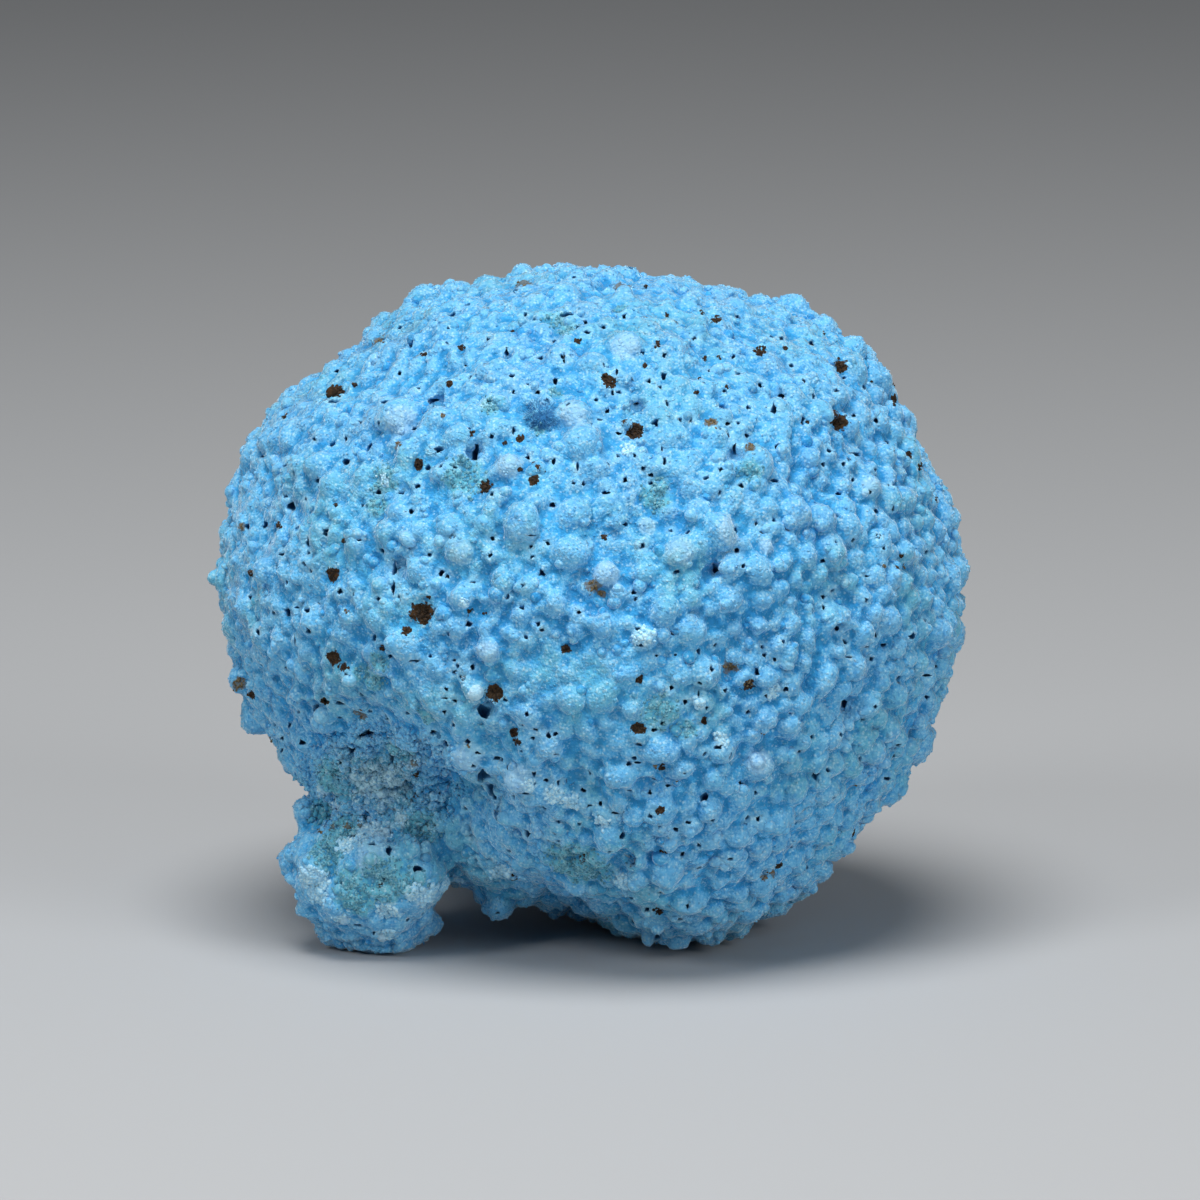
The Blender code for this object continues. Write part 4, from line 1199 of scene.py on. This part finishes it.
@dataclass(frozen=True)
class Strewn:
    """Grains that lie half sunk on the crust where chance and a share a point put them.

    Attributes:
        name: The piece's name.
        count: How many grains it has.
        sizes: The least and the greatest radius of a grain.
        seed: The seed of the draw.
        side: 1 for the front only, -1 for the rest only, 0 for all round.
    """

    name: str
    count: int
    sizes: tuple[float, float]
    seed: int
    side: int = 0
    divisions: int = 1
    lump: float = 0.35
    sink: float = 0.2
    frost_and_highlight_lift: float = 0.5

    def build(self, skin: bpy.types.Object, share: np.ndarray) -> bpy.types.Object:
        """The grains as one piece, in millimetres.

        Args:
            skin: The crust that they lie on.
            share: How likely a grain is, a point of the crust.

        Returns:
            The piece.
        """
        points, faces = arrays_of(skin)
        corners = points[faces]
        across = np.cross(corners[:, 1] - corners[:, 0], corners[:, 2] - corners[:, 0])
        area = np.linalg.norm(across, axis=1)
        normal = across / np.maximum(area, 1e-12)[:, None]
        weight = area * share[faces].mean(axis=1)
        if self.side:
            facing = normal @ -np.array(SIGHT.inward) > 0.0
            weight = weight * (facing if self.side > 0 else ~facing)
        dice = np.random.default_rng(self.seed)
        picked = dice.choice(len(faces), self.count, p=weight / weight.sum())
        first, second = dice.random(self.count), dice.random(self.count)
        over = first + second > 1
        first, second = np.where(over, 1 - first, first), np.where(over, 1 - second, second)
        corner = corners[picked]
        spots = corner[:, 0] + first[:, None] * (corner[:, 1] - corner[:, 0])
        spots += second[:, None] * (corner[:, 2] - corner[:, 0])
        least, most = self.sizes
        radii = least + (most - least) * dice.random(self.count) ** 2
        spots -= normal[picked] * (radii * self.sink)[:, None]
        spots[:, 2] = np.maximum(spots[:, 2], 1.4 * radii)
        piece, order, counts = pile(self.name, spots, radii, self.divisions, self.lump, self.seed)
        owner = np.repeat(order, counts)
        grain_points, _ = arrays_of(piece)
        rise = ((grain_points - spots[owner]) * normal[picked][owner]).sum(axis=1) / radii[owner]
        for name in SHADE_NAMES:
            values = values_of(skin, name)[faces[picked]].mean(axis=1)[owner]
            # A grain's crest value rises towards its top, so its top takes the pale crest colour: partly frost,
            # partly a painted highlight
            if name == "crest":
                values = values + self.frost_and_highlight_lift * np.clip(rise, 0, 1)
            store(piece, name, values)
        return piece


def pile(
    name: str, spots: np.ndarray, radii: np.ndarray, divisions: int, lump: float, seed: int
) -> tuple[bpy.types.Object, np.ndarray, np.ndarray]:
    """Uneven grains at given places as one piece.

    Args:
        name: The piece's name.
        spots: The middles of the grains.
        radii: Their radii.
        divisions: How finely a grain is divided.
        lump: How uneven it is.
        seed: The seed of their turns.

    Returns:
        The piece, in millimetres, the grains' order in it and how many points each has.
    """
    kinds = lumpy_balls(divisions, 5, lump)
    draw = random.Random(seed)
    dice = np.random.default_rng(seed)
    kind = dice.integers(len(kinds), size=len(spots))
    stretch = dice.uniform(0.7, 1.3, (len(spots), 3))
    clay = Clay()
    order, counts = [], []
    for index, grain in enumerate(kinds):
        chosen = np.flatnonzero(kind == index)
        if not len(chosen):
            continue
        order.append(chosen)
        counts.append(np.full(len(chosen), len(grain[0])))
        turns = np.array([random_turn(draw) for _ in chosen]) * (stretch[chosen] * radii[chosen, None])[:, None, :]
        clay.add_copies(grain, spots[chosen], turns)
    return clay.make(name), np.concatenate(order), np.concatenate(counts)


@dataclass(frozen=True)
class SpeckFill:
    """Earthy grains that fill the dents of the specks.

    Attributes:
        name: The piece's name.
        packing: How many grains a square millimetre holds.
        sizes: The least and the greatest radius of a grain.
        seed: The seed of the draw.
    """

    name: str
    packing: float
    sizes: tuple[float, float]
    seed: int
    lump: float = 0.3

    def build(
        self, tree: BVHTree, spots: tuple[tuple[float, ...], ...], behind: list[tuple[Vector, Vector, float]]
    ) -> bpy.types.Object:
        """The grains of all specks as one piece, in millimetres.

        Args:
            tree: A search tree over the crust.
            spots: The specks of the front.
            behind: The specks of the other sides: point, way out and radius.

        Returns:
            The piece.
        """
        draw = random.Random(self.seed)
        middles, radii = [], []
        for x, z, *size in spots:
            width, height = (size * 2)[:2] if len(size) == 1 else size
            turn = draw.uniform(0, math.pi)
            for _ in range(max(4, int(self.packing * width * height))):
                angle, reach = draw.uniform(0, math.tau), draw.random() ** 0.5
                ragged = 0.72 + 0.5 * noise.noise(Vector((math.cos(angle) * 2, math.sin(angle) * 2, x + z + turn)))
                across = x + 0.5 * width * reach * ragged * math.cos(angle)
                up = z + 0.5 * height * reach * ragged * math.sin(angle)
                point, normal = SIGHT.meet(tree, across, up)
                radius = draw.uniform(*self.sizes)
                middles.append(point - normal * (radius * draw.uniform(-0.1, 0.6)))
                radii.append(radius)
        for point, normal, size in behind:
            side = normal.orthogonal().normalized()
            rise = normal.cross(side)
            for _ in range(max(4, int(self.packing * 4 * size * size))):
                angle, reach = draw.uniform(0, math.tau), draw.random() ** 0.5
                ragged = 0.72 + 0.5 * noise.noise(Vector((math.cos(angle) * 2, math.sin(angle) * 2, point.x)))
                place = point + (side * math.cos(angle) + rise * math.sin(angle)) * (size * reach * ragged)
                found, out, _, _ = tree.find_nearest(place)
                radius = draw.uniform(*self.sizes)
                middles.append(found - out * (radius * draw.uniform(-0.1, 0.6)))
                radii.append(radius)
        spots_array = np.array(middles)
        sizes = np.array(radii)
        spots_array[:, 2] = np.maximum(spots_array[:, 2], 1.4 * sizes)
        return pile(self.name, spots_array, sizes, 1, self.lump, self.seed)[0]


def spots_behind(tree: BVHTree, count: int, radii: tuple[float, float], seed: int) -> list[tuple[Vector, Vector, float]]:
    """Places on the sides that the front doesn't show.

    Args:
        tree: A search tree over the crust.
        count: How many there are.
        radii: The least and the greatest radius of a place.
        seed: The seed of the draw.

    Returns:
        For each place its point, the way out there and its radius.
    """
    draw = random.Random(seed)
    found = []
    while len(found) < count:
        away = Vector((draw.gauss(0, 1), draw.gauss(0, 1), draw.gauss(0, 1))).normalized()
        point, normal, _, _ = tree.find_nearest(SIGHT.middle + away * StoneBody.depth)
        radius = radii[0] + (radii[1] - radii[0]) * draw.random() ** 2
        if normal.dot(SIGHT.inward) > 0.05 and point.z > 1.5:
            found.append((point, normal, radius))
    return found


@dataclass(frozen=True)
class NeedleTuft:
    """The tuft of dark azure needles above the middle.

    Attributes:
        across: How far right of the ball's middle it is seen.
        up: How far above it.
        radius: The radius of its foot.
        count: How many needles it has.
        length: The least and the greatest length of a needle.
        width: The width of a needle at its foot.
    """

    across: float = -2.52
    up: float = 9.45
    radius: float = 0.72
    count: int = 460
    length: tuple[float, float] = (0.45, 0.8)
    width: float = 0.06
    seed: int = 3

    def build(self, tree: BVHTree) -> bpy.types.Object:
        """The needles as one piece, in millimetres.

        Args:
            tree: A search tree over the crust.

        Returns:
            The piece.
        """
        deselect()
        bpy.ops.mesh.primitive_cone_add(vertices=5, radius1=0.5, radius2=0.06, depth=1.0, location=(0, 0, 0.5))
        cone = bpy.context.active_object
        needle = arrays_of(cone)
        delete(cone)
        draw = random.Random(self.seed)
        places, turns = [], []
        for _ in range(self.count):
            angle, reach = draw.uniform(0, math.tau), draw.random() ** 0.5 * self.radius
            point, normal = SIGHT.meet(tree, self.across + reach * math.cos(angle), self.up + reach * math.sin(angle))
            lean = Vector((math.cos(angle), 0.0, math.sin(angle))) * (reach / self.radius)
            stray = Vector([draw.gauss(0, 0.35) for _ in range(3)])
            way = (normal + lean * 2.3 + stray).normalized()
            turn = np.array(way.to_track_quat("Z", "Y").to_matrix())
            places.append(point - normal * 0.08)
            turns.append(turn @ np.diag([self.width, self.width, draw.uniform(*self.length)]))
        clay = Clay()
        clay.add_copies(needle, np.array(places), np.array(turns))
        return clay.make("azure_needle_tuft")


class Value:
    """A shader socket that can be used in sums; each sum adds its Math node."""

    def __init__(self, nodes: "Nodes", socket: bpy.types.NodeSocket) -> None:
        """Wraps a socket.

        Args:
            nodes: The material's nodes.
            socket: The output socket.
        """
        self.nodes = nodes
        self.socket = socket

    def sum(self, operation: str, first: "Value | float", second: "Value | float", clamp: bool = False) -> "Value":
        """A Math node on two values."""
        made = self.nodes.add("ShaderNodeMath", {"operation": operation, "use_clamp": clamp}, {0: first, 1: second})
        return Value(self.nodes, made.outputs[0])

    def __add__(self, other: "Value | float") -> "Value":
        """This value plus another."""
        return self.sum("ADD", self, other)

    __radd__ = __add__

    def __sub__(self, other: "Value | float") -> "Value":
        """This value less another."""
        return self.sum("SUBTRACT", self, other)

    def __rsub__(self, other: "Value | float") -> "Value":
        """Another value less this one."""
        return self.sum("SUBTRACT", other, self)

    def __mul__(self, other: "Value | float") -> "Value":
        """This value times another."""
        return self.sum("MULTIPLY", self, other)

    __rmul__ = __mul__

    def __pow__(self, other: "Value | float") -> "Value":
        """This value to a power."""
        return self.sum("POWER", self, other)

    def most(self, other: "Value | float") -> "Value":
        """The greater of this value and another."""
        return self.sum("MAXIMUM", self, other)

    def step(self, start: float, end: float) -> "Value":
        """0 below start and 1 above end, eased in between."""
        made = self.nodes.add(
            "ShaderNodeMapRange",
            {"interpolation_type": "SMOOTHSTEP"},
            {"Value": self, "From Min": start, "From Max": end, "To Min": 0.0, "To Max": 1.0},
        )
        return Value(self.nodes, made.outputs["Result"])


Colour = tuple[float, float, float]


class Nodes:
    """A material's nodes, added by type, settings and socket values."""

    def __init__(self, material: bpy.types.Material) -> None:
        """Starts from the material's own shader.

        Args:
            material: The material.
        """
        material.use_nodes = True
        self.tree = material.node_tree
        self.shader = self.tree.nodes["Principled BSDF"]
        self.place = self.add("ShaderNodeTexCoord", {}, {}).outputs["Object"]
        scaled = self.add("ShaderNodeVectorMath", {"operation": "SCALE"}, {0: self.place, "Scale": 1 / MM})
        self.millimetres = scaled.outputs[0]

    def add(self, kind: str, settings: dict[str, object], values: dict[str | int, object]) -> bpy.types.Node:
        """Adds one node.

        Args:
            kind: The node's type.
            settings: Its settings, which are set first; "stops" holds a ramp's places and colours.
            values: The values or links of its sockets, by name or number.

        Returns:
            The node.
        """
        node = self.tree.nodes.new(kind)
        for name, value in settings.items():
            if name == "stops":
                self.set_stops(node, value)
            else:
                setattr(node, name, value)
        for name, value in values.items():
            socket = node.inputs[name]
            if isinstance(value, Value):
                self.tree.links.new(value.socket, socket)
            elif isinstance(value, bpy.types.NodeSocket):
                self.tree.links.new(value, socket)
            else:
                socket.default_value = value
        return node

    def set_stops(self, node: bpy.types.Node, stops: list[tuple[float, Colour]]) -> None:
        """Sets a ramp's places and colours."""
        ramp = node.color_ramp
        while len(ramp.elements) < len(stops):
            ramp.elements.new(1.0)
        for element, (place, colour) in zip(ramp.elements, stops):
            element.position = place
            element.color = (*colour, 1.0)

    def noise(self, size: float, detail: float = 2.0, roughness: float = 0.55, twist: float = 0.0) -> Value:
        """Noise whose lumps are about this many millimetres wide."""
        made = self.add(
            "ShaderNodeTexNoise",
            {},
            {
                "Vector": self.millimetres, "Scale": 1 / size, "Detail": detail, "Roughness": roughness,
                "Distortion": twist,
            },
        )
        return Value(self, made.outputs["Fac"])

    def cells(self, size: float) -> tuple[Value, Value]:
        """The distance to the nearest of scattered points this many millimetres apart, and that point's own value."""
        made = self.add("ShaderNodeTexVoronoi", {}, {"Vector": self.millimetres, "Scale": 1 / size})
        parts = self.add("ShaderNodeSeparateColor", {}, {"Color": made.outputs["Color"]})
        return Value(self, made.outputs["Distance"]), Value(self, parts.outputs["Red"])

    def seams(self, size: float, twist: Value, width: float) -> Value:
        """Thin crooked lines between cells of this many millimetres: 1 on a line, 0 away from it."""
        scaled = self.add("ShaderNodeVectorMath", {"operation": "SCALE"}, {0: self.millimetres, "Scale": 1 / size})
        pushed = self.add("ShaderNodeVectorMath", {}, {0: scaled.outputs[0], 1: twist})
        made = self.add("ShaderNodeTexVoronoi", {"feature": "DISTANCE_TO_EDGE"}, {"Vector": pushed.outputs[0], "Scale": 1.0})
        return 1 - Value(self, made.outputs["Distance"]).step(0.0, width)

    def plain_shader(self, colour: bpy.types.NodeSocket, roughness: float, share: Value) -> None:
        """Lets a plain rough shader take the place of the main one.

        Args:
            colour: Its colour.
            roughness: Its roughness.
            share: Where it shows.
        """
        values = {
            "Base Color": colour, "Roughness": roughness, "Specular IOR Level": 0.2,
            "Normal": self.shader.inputs["Normal"].links[0].from_socket,
        }
        plain = self.add("ShaderNodeBsdfPrincipled", {}, values)
        mixed = self.add("ShaderNodeMixShader", {}, {0: share, 1: self.shader.outputs[0], 2: plain.outputs[0]})
        self.tree.links.new(mixed.outputs[0], self.tree.nodes["Material Output"].inputs["Surface"])

    def attribute(self, name: str) -> Value:
        """A value a point that the mesh holds."""
        made = self.add("ShaderNodeAttribute", {"attribute_name": name}, {})
        return Value(self, made.outputs["Fac"])

    def blend(self, first: object, second: object, share: "Value | float", way: str = "MIX") -> bpy.types.NodeSocket:
        """One colour passing into another.

        Args:
            first: The first colour or its socket.
            second: The second colour or its socket.
            share: How much of the second there is.
            way: How the two are blended.

        Returns:
            The colour's socket.
        """
        made = self.add("ShaderNodeMix", {"data_type": "RGBA", "blend_type": way}, {})
        for socket, value in ((made.inputs[0], share), (made.inputs[6], first), (made.inputs[7], second)):
            if isinstance(value, Value):
                self.tree.links.new(value.socket, socket)
            elif isinstance(value, bpy.types.NodeSocket):
                self.tree.links.new(value, socket)
            else:
                socket.default_value = (*value, 1.0) if isinstance(value, tuple) else value
        return made.outputs[2]

    def bump(self, height: Value, depth: float, strength: float, under: bpy.types.NodeSocket | None = None) -> object:
        """A Bump node on a height.

        Args:
            height: The height.
            depth: How deep it is, in millimetres.
            strength: How strongly it shows.
            under: The normal of a Bump node below this one.

        Returns:
            The normal's socket.
        """
        values: dict[str | int, object] = {"Height": height, "Distance": depth * MM, "Strength": strength}
        if under is not None:
            values["Normal"] = under
        return self.add("ShaderNodeBump", {}, values).outputs["Normal"]

    def wear(self, name: str, value: object) -> None:
        """Links or sets one of the shader's own sockets."""
        socket = self.shader.inputs[name]
        if isinstance(value, Value):
            self.tree.links.new(value.socket, socket)
        elif isinstance(value, bpy.types.NodeSocket):
            self.tree.links.new(value, socket)
        else:
            socket.default_value = (*value, 1.0) if isinstance(value, tuple) else value


@dataclass(frozen=True)
class CrustFinish:
    """The velvety blue of the crust, with teal, brown and white stains. Its crests are painted pale, partly as frost
    and partly as a painted highlight; its bead flanks carry a painted sheen; its creases and pores are darkened as
    painted shade.
    """

    deep: Colour = (0.028, 0.26, 0.62)
    mid: Colour = (0.052, 0.385, 0.75)
    light: Colour = (0.11, 0.52, 0.86)
    # Pale blue of the crests: partly the crust's frost, partly a painted highlight
    crest: Colour = (0.31, 0.66, 0.88)
    frost: Colour = (0.60, 0.85, 0.93)
    # A darker blue: a painted shade in the creases, and the dark blue patches of the druse
    painted_crease_shade_and_druse_blue: Colour = (0.022, 0.21, 0.46)
    # Dark navy of the pores: a painted shade in their depths
    painted_pore_shade: Colour = (0.035, 0.17, 0.34)
    teal: Colour = (0.13, 0.45, 0.52)
    olive: Colour = (0.09, 0.20, 0.17)
    azure: Colour = (0.008, 0.10, 0.28)
    iron: Colour = (0.025, 0.015, 0.007)
    rust: Colour = (0.06, 0.032, 0.014)
    ochre: Colour = (0.15, 0.12, 0.07)
    white: Colour = (0.62, 0.84, 0.92)
    lilac: Colour = (0.42, 0.64, 0.82)

    def make(self) -> bpy.types.Material:
        """The material."""
        material = bpy.data.materials.new(Finish.CRUST.value)
        nodes = Nodes(material)
        cloud = nodes.noise(3.2, 3.0, 0.6)
        fleck = nodes.noise(0.3, 3.0, 0.7)
        speckle = nodes.noise(0.11, 2.0, 0.7)
        dome, grain = nodes.cells(0.16)
        crest = nodes.attribute("crest")
        swell = nodes.attribute("swell")
        druse = nodes.attribute("druse")
        ragged = (fleck - 0.5) * 0.5
        torn = (nodes.noise(0.34, 3.0, 0.7) - 0.5) * 2.2
        colour = nodes.blend(self.deep, self.mid, (cloud * 0.8 + fleck * 0.6).step(0.45, 0.8))
        colour = nodes.blend(colour, self.light, (fleck + speckle * 0.6).step(0.75, 1.05) * 0.7)
        # Crests and bead tops are painted pale: partly frost, partly a painted highlight where the light falls on
        # them
        crest_frost_and_highlight = (crest * 0.4 + swell * 0.8 + ragged * 1.6).step(0.5, 1.15)
        colour = nodes.blend(colour, self.crest, crest_frost_and_highlight * 0.42)
        # The flanks of the beads are painted paler: a painted sheen in place of the velvet's grazing light
        painted_sheen_flank = (swell + ragged * 0.6).step(0.34, 0.52) * (1 - (swell + ragged * 0.6).step(0.62, 0.85))
        colour = nodes.blend(colour, self.crest, painted_sheen_flank * speckle.step(0.3, 0.65) * 0.48)
        lilac = (nodes.attribute("lilac") + ragged).step(-0.05, 0.35)
        colour = nodes.blend(colour, self.lilac, lilac * 0.5)
        patch = (nodes.noise(4.5, 3.0, 0.6) + ragged * 0.4).step(0.46, 0.7) * 0.6
        teal = (nodes.attribute("teal") + torn * 0.5).step(-0.1, 0.4) * 0.9
        teal = teal.most(druse * (nodes.noise(0.9, 3.0, 0.6).step(0.48, 0.62)) * 0.6).most(patch)
        colour = nodes.blend(colour, self.teal, teal * 0.8)
        colour = nodes.blend(colour, self.olive, (teal * speckle).step(0.42, 0.75) * 0.5)
        torn_blue = nodes.noise(0.6, 3.0, 0.65)
        # Dark blue patches through the druse, in the same colour
        colour = nodes.blend(colour, self.painted_crease_shade_and_druse_blue, (druse * 1.4 + torn_blue).step(1.3, 1.7) * 0.4)
        colour = nodes.blend(colour, self.frost, (druse * 0.9 + nodes.noise(0.35, 3.0, 0.7)).step(1.2, 1.4) * 0.55)
        # Creases are darkened: a painted shade
        painted_crease_shade_and_druse_blue = ((1 - swell).step(0.6, 0.95) * 0.4).most((1 - crest + ragged).step(0.58, 0.8) * 0.6)
        colour = nodes.blend(colour, self.painted_crease_shade_and_druse_blue, painted_crease_shade_and_druse_blue)
        rim = (nodes.attribute("rim") + ragged).step(-0.1, 0.4) * 0.35
        colour = nodes.blend(colour, self.crest, rim)
        frayed = nodes.seams(0.62, fleck * 1.6, 0.14) * (nodes.noise(1.4, 2.0) + ragged * 0.7).step(0.48, 0.75)
        colour = nodes.blend(colour, self.frost, frayed * 0.22)
        dusted = (grain + (crest + swell + rim) * 0.18 + ragged).step(0.82, 1.15) * (1 - dome).step(0.35, 0.8)
        colour = nodes.blend(colour, self.frost, dusted * 0.42)
        colour = nodes.blend(colour, self.deep, (1 - grain).step(0.7, 1.0) * 0.4)
        colour = nodes.blend(colour, self.frost, (speckle + fleck * 0.5).step(0.82, 1.0) * 0.3)
        white = (nodes.attribute("white") + torn * 0.8).step(-0.1, 0.5)
        colour = nodes.blend(colour, self.white, white * 0.62)
        nodes.wear("Base Color", colour)
        nodes.wear("Roughness", 0.88 + fleck * 0.12)
        coarse = nodes.bump(nodes.noise(0.34, 3.0, 0.65) + frayed * 0.2, 0.14, 0.8)
        nodes.wear("Normal", nodes.bump((1 - dome) + speckle * 0.5, 0.05, 0.8, coarse))
        nodes.wear("Specular IOR Level", 0.06)
        nodes.wear("Sheen Weight", 1.0)
        nodes.wear("Sheen Roughness", 0.28)
        nodes.wear("Sheen Tint", (0.74, 0.9, 1.0))
        # Pores are painted dark by their depth below the uncut skin, a painted shade, through a plain shader without
        # sheen; the same shader carries the ochre, azure and iron stains
        sunk = nodes.attribute("sunk").step(0.1, 0.85)
        ochre = (nodes.attribute("ochre") + torn).step(-0.05, 0.3) * 0.85
        iron = (nodes.attribute("iron") + torn).step(0.0, 0.2)
        azure = (nodes.attribute("azure") + ragged * 1.5).step(0.0, 0.3)
        plain = nodes.blend(self.painted_pore_shade, self.ochre, ochre)
        plain = nodes.blend(plain, self.azure, azure)
        plain = nodes.blend(plain, self.rust, iron)
        plain = nodes.blend(plain, self.iron, iron * fleck.step(0.4, 0.6))
        nodes.plain_shader(plain, 0.9, sunk.most(ochre).most(iron).most(azure * 0.9))
        return material


@dataclass(frozen=True)
class GrainFinish:
    """An earthy, grainy finish of two colours with a fine bump."""

    finish: Finish
    dark: Colour
    light: Colour
    roughness: float = 0.85
    grain: float = 0.12

    def make(self) -> bpy.types.Material:
        """The material."""
        material = bpy.data.materials.new(self.finish.value)
        nodes = Nodes(material)
        mottle = nodes.noise(self.grain, 3.0, 0.65)
        nodes.wear("Base Color", nodes.blend(self.dark, self.light, mottle.step(0.38, 0.68)))
        nodes.wear("Roughness", self.roughness - 0.15 * mottle)
        nodes.wear("Normal", nodes.bump(nodes.noise(0.5 * self.grain, 2.0, 0.6), 0.03, 0.6))
        nodes.wear("Specular IOR Level", 0.3)
        return material


def settle(obj: bpy.types.Object, materials: list[bpy.types.Material]) -> bpy.types.Object:
    """Moves a finished piece into the frame, in metres, dresses it and says what it rides on.

    Args:
        obj: The piece, in millimetres in the design frame.
        materials: Its materials.

    Returns:
        The piece.
    """
    obj.data.transform(Matrix.Scale(MM, 4) @ Matrix.Translation(FRAME_SHIFT))
    obj.data.materials.clear()
    for material in materials:
        obj.data.materials.append(material)
    make_active(obj)
    bpy.ops.object.shade_smooth()
    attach(obj, BODY)
    LOG.info("%s: %d faces", obj.name, len(obj.data.polygons))
    return obj


@dataclass
class Studio:
    """A plain pale floor, soft light and the camera at the picture's viewing angle."""

    floor_size: float = 6.0
    lens: float = 240.0
    sensor: float = 36.0
    aim_across: float = 0.4
    aim_up: float = 0.25

    def build(self) -> None:
        """Adds the floor, the lights, the sky and the camera."""
        self.add_floor()
        self.add_light("overhead_softbox", (-0.03, -0.13, 0.42), 0.26, 1.88)
        self.add_light("front_fill", (0.37, -0.40, 0.25), 0.3, 1.08)
        self.add_light("left_key", (-0.34, -0.34, 0.33), 0.18, 0.78)
        world = bpy.data.worlds.new("pale_room")
        world.use_nodes = True
        world.node_tree.nodes["Background"].inputs["Color"].default_value = (0.85, 0.88, 0.92, 1.0)
        world.node_tree.nodes["Background"].inputs["Strength"].default_value = 0.1
        bpy.context.scene.world = world
        bpy.context.scene.view_settings.view_transform = "Standard"
        self.add_camera()

    def add_floor(self) -> None:
        """Adds the floor."""
        deselect()
        bpy.ops.mesh.primitive_plane_add(size=self.floor_size)
        floor = bpy.context.active_object
        floor.name = "floor"
        material = bpy.data.materials.new(Finish.FLOOR.value)
        nodes = Nodes(material)
        nodes.wear("Base Color", (0.44, 0.45, 0.46))
        nodes.wear("Roughness", 0.75)
        floor.data.materials.append(material)

    def add_light(self, name: str, place: tuple[float, float, float], size: float, power: float) -> None:
        """Adds one soft light that faces the nodule.

        Args:
            name: Its name.
            place: Where it is, in metres.
            size: Its width.
            power: Its power in watts.
        """
        light = bpy.data.lights.new(name, "AREA")
        light.shape = "DISK"
        light.size = size
        light.energy = power
        obj = bpy.data.objects.new(name, light)
        obj.location = place
        obj.rotation_euler = (SIGHT.middle * MM - Vector(place)).to_track_quat("-Z", "Y").to_euler()
        bpy.context.scene.collection.objects.link(obj)

    def add_camera(self) -> None:
        """Adds the camera."""
        camera = bpy.data.cameras.new("camera")
        camera.lens = self.lens
        camera.sensor_width = self.sensor
        camera.clip_start = 0.01
        camera.clip_end = 20.0
        obj = bpy.data.objects.new("camera", camera)
        aim = SIGHT.across * self.aim_across + SIGHT.up * self.aim_up
        obj.location = (SIGHT.eye + aim + FRAME_SHIFT) * MM
        obj.rotation_euler = SIGHT.inward.to_track_quat("-Z", "Y").to_euler()
        bpy.context.scene.collection.objects.link(obj)
        bpy.context.scene.camera = obj


def values_of(obj: bpy.types.Object, name: str) -> np.ndarray:
    """The values a point that a mesh holds under a name."""
    values = np.empty(len(obj.data.vertices), np.float32)
    obj.data.attributes[name].data.foreach_get("value", values)
    return values.astype(float)


def main() -> None:
    """Builds the nodule's pieces in order and sets the scene."""
    logging.basicConfig(level=logging.INFO, format="%(relativeCreated)6d ms  %(message)s")
    body = StoneBody().build()
    tree = tree_of(body)
    skin = Crust().build(body, tree)
    uncut = tree_of(skin)
    Pores().cut(skin, uncut)
    Shades().paint(skin, uncut)
    crust = CrustFinish().make()
    frost_finish = GrainFinish(Finish.CRUMB, (0.28, 0.62, 0.86), (0.62, 0.87, 0.94)).make()
    iron_finish = GrainFinish(Finish.IRON, (0.012, 0.008, 0.005), (0.06, 0.033, 0.014)).make()
    ochre_finish = GrainFinish(Finish.OCHRE, (0.08, 0.06, 0.03), (0.26, 0.20, 0.11)).make()
    needle_finish = GrainFinish(Finish.NEEDLE, (0.006, 0.09, 0.28), (0.10, 0.42, 0.72), 0.6).make()
    druse_finish = GrainFinish(Finish.DRUSE, (0.04, 0.22, 0.34), (0.24, 0.50, 0.56), 0.6).make()
    cut = tree_of(skin)
    crest, white, teal = (values_of(skin, name) for name in ("crest", "white", "teal"))
    druse, sunk = values_of(skin, "druse"), values_of(skin, "sunk")
    open_face = np.clip(1 - 3 * sunk, 0, 1)
    frost = np.clip(crest - 0.35, 0, 1) ** 1.5 * open_face
    pieces = [
        (Strewn("frost_of_the_front", 9400, (0.04, 0.085), 21, 1, frost_and_highlight_lift=0.7).build(skin, frost), crust),
        (Strewn("frost_of_the_sides", 9400, (0.05, 0.1), 22, -1, frost_and_highlight_lift=0.7).build(skin, frost), crust),
        (Strewn("small_beads", 1100, (0.15, 0.42), 23, 1, 2, 0.06, 0.35).build(skin, open_face), crust),
        (Strewn("small_beads_of_the_sides", 1500, (0.15, 0.38), 24, -1, 2, 0.08, 0.3).build(skin, open_face), crust),
        (Strewn("white_crumbs", 1900, (0.06, 0.18), 25, 1, 1, 0.5).build(
            skin, np.clip(white, 0, 1) * open_face), frost_finish),
        (Strewn("teal_druse", 2200, (0.05, 0.14), 26, 1).build(skin, np.clip(teal, 0, 1) * open_face), druse_finish),
        (Strewn("neck_druse", 5200, (0.07, 0.2), 27, 1, 1, 0.5, -0.1).build(skin, druse * open_face), crust),
        (SpeckFill("iron_specks", 75.0, (0.045, 0.1), 31).build(
            cut, SPECKS, spots_behind(cut, SPREAD_SPECKS, (0.12, 0.42), 33)), iron_finish),
        (SpeckFill("ochre_specks", 60.0, (0.04, 0.09), 32).build(
            cut, OCHRE_SPECKS, spots_behind(cut, 25, (0.12, 0.4), 34)), ochre_finish),
        (NeedleTuft().build(cut), needle_finish),
    ]
    for piece, finish in pieces:
        settle(piece, [finish])
    settle(skin, [crust])
    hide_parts(NODE)
    delete(body)
    Studio().build()


if __name__ == "__main__":
    main()
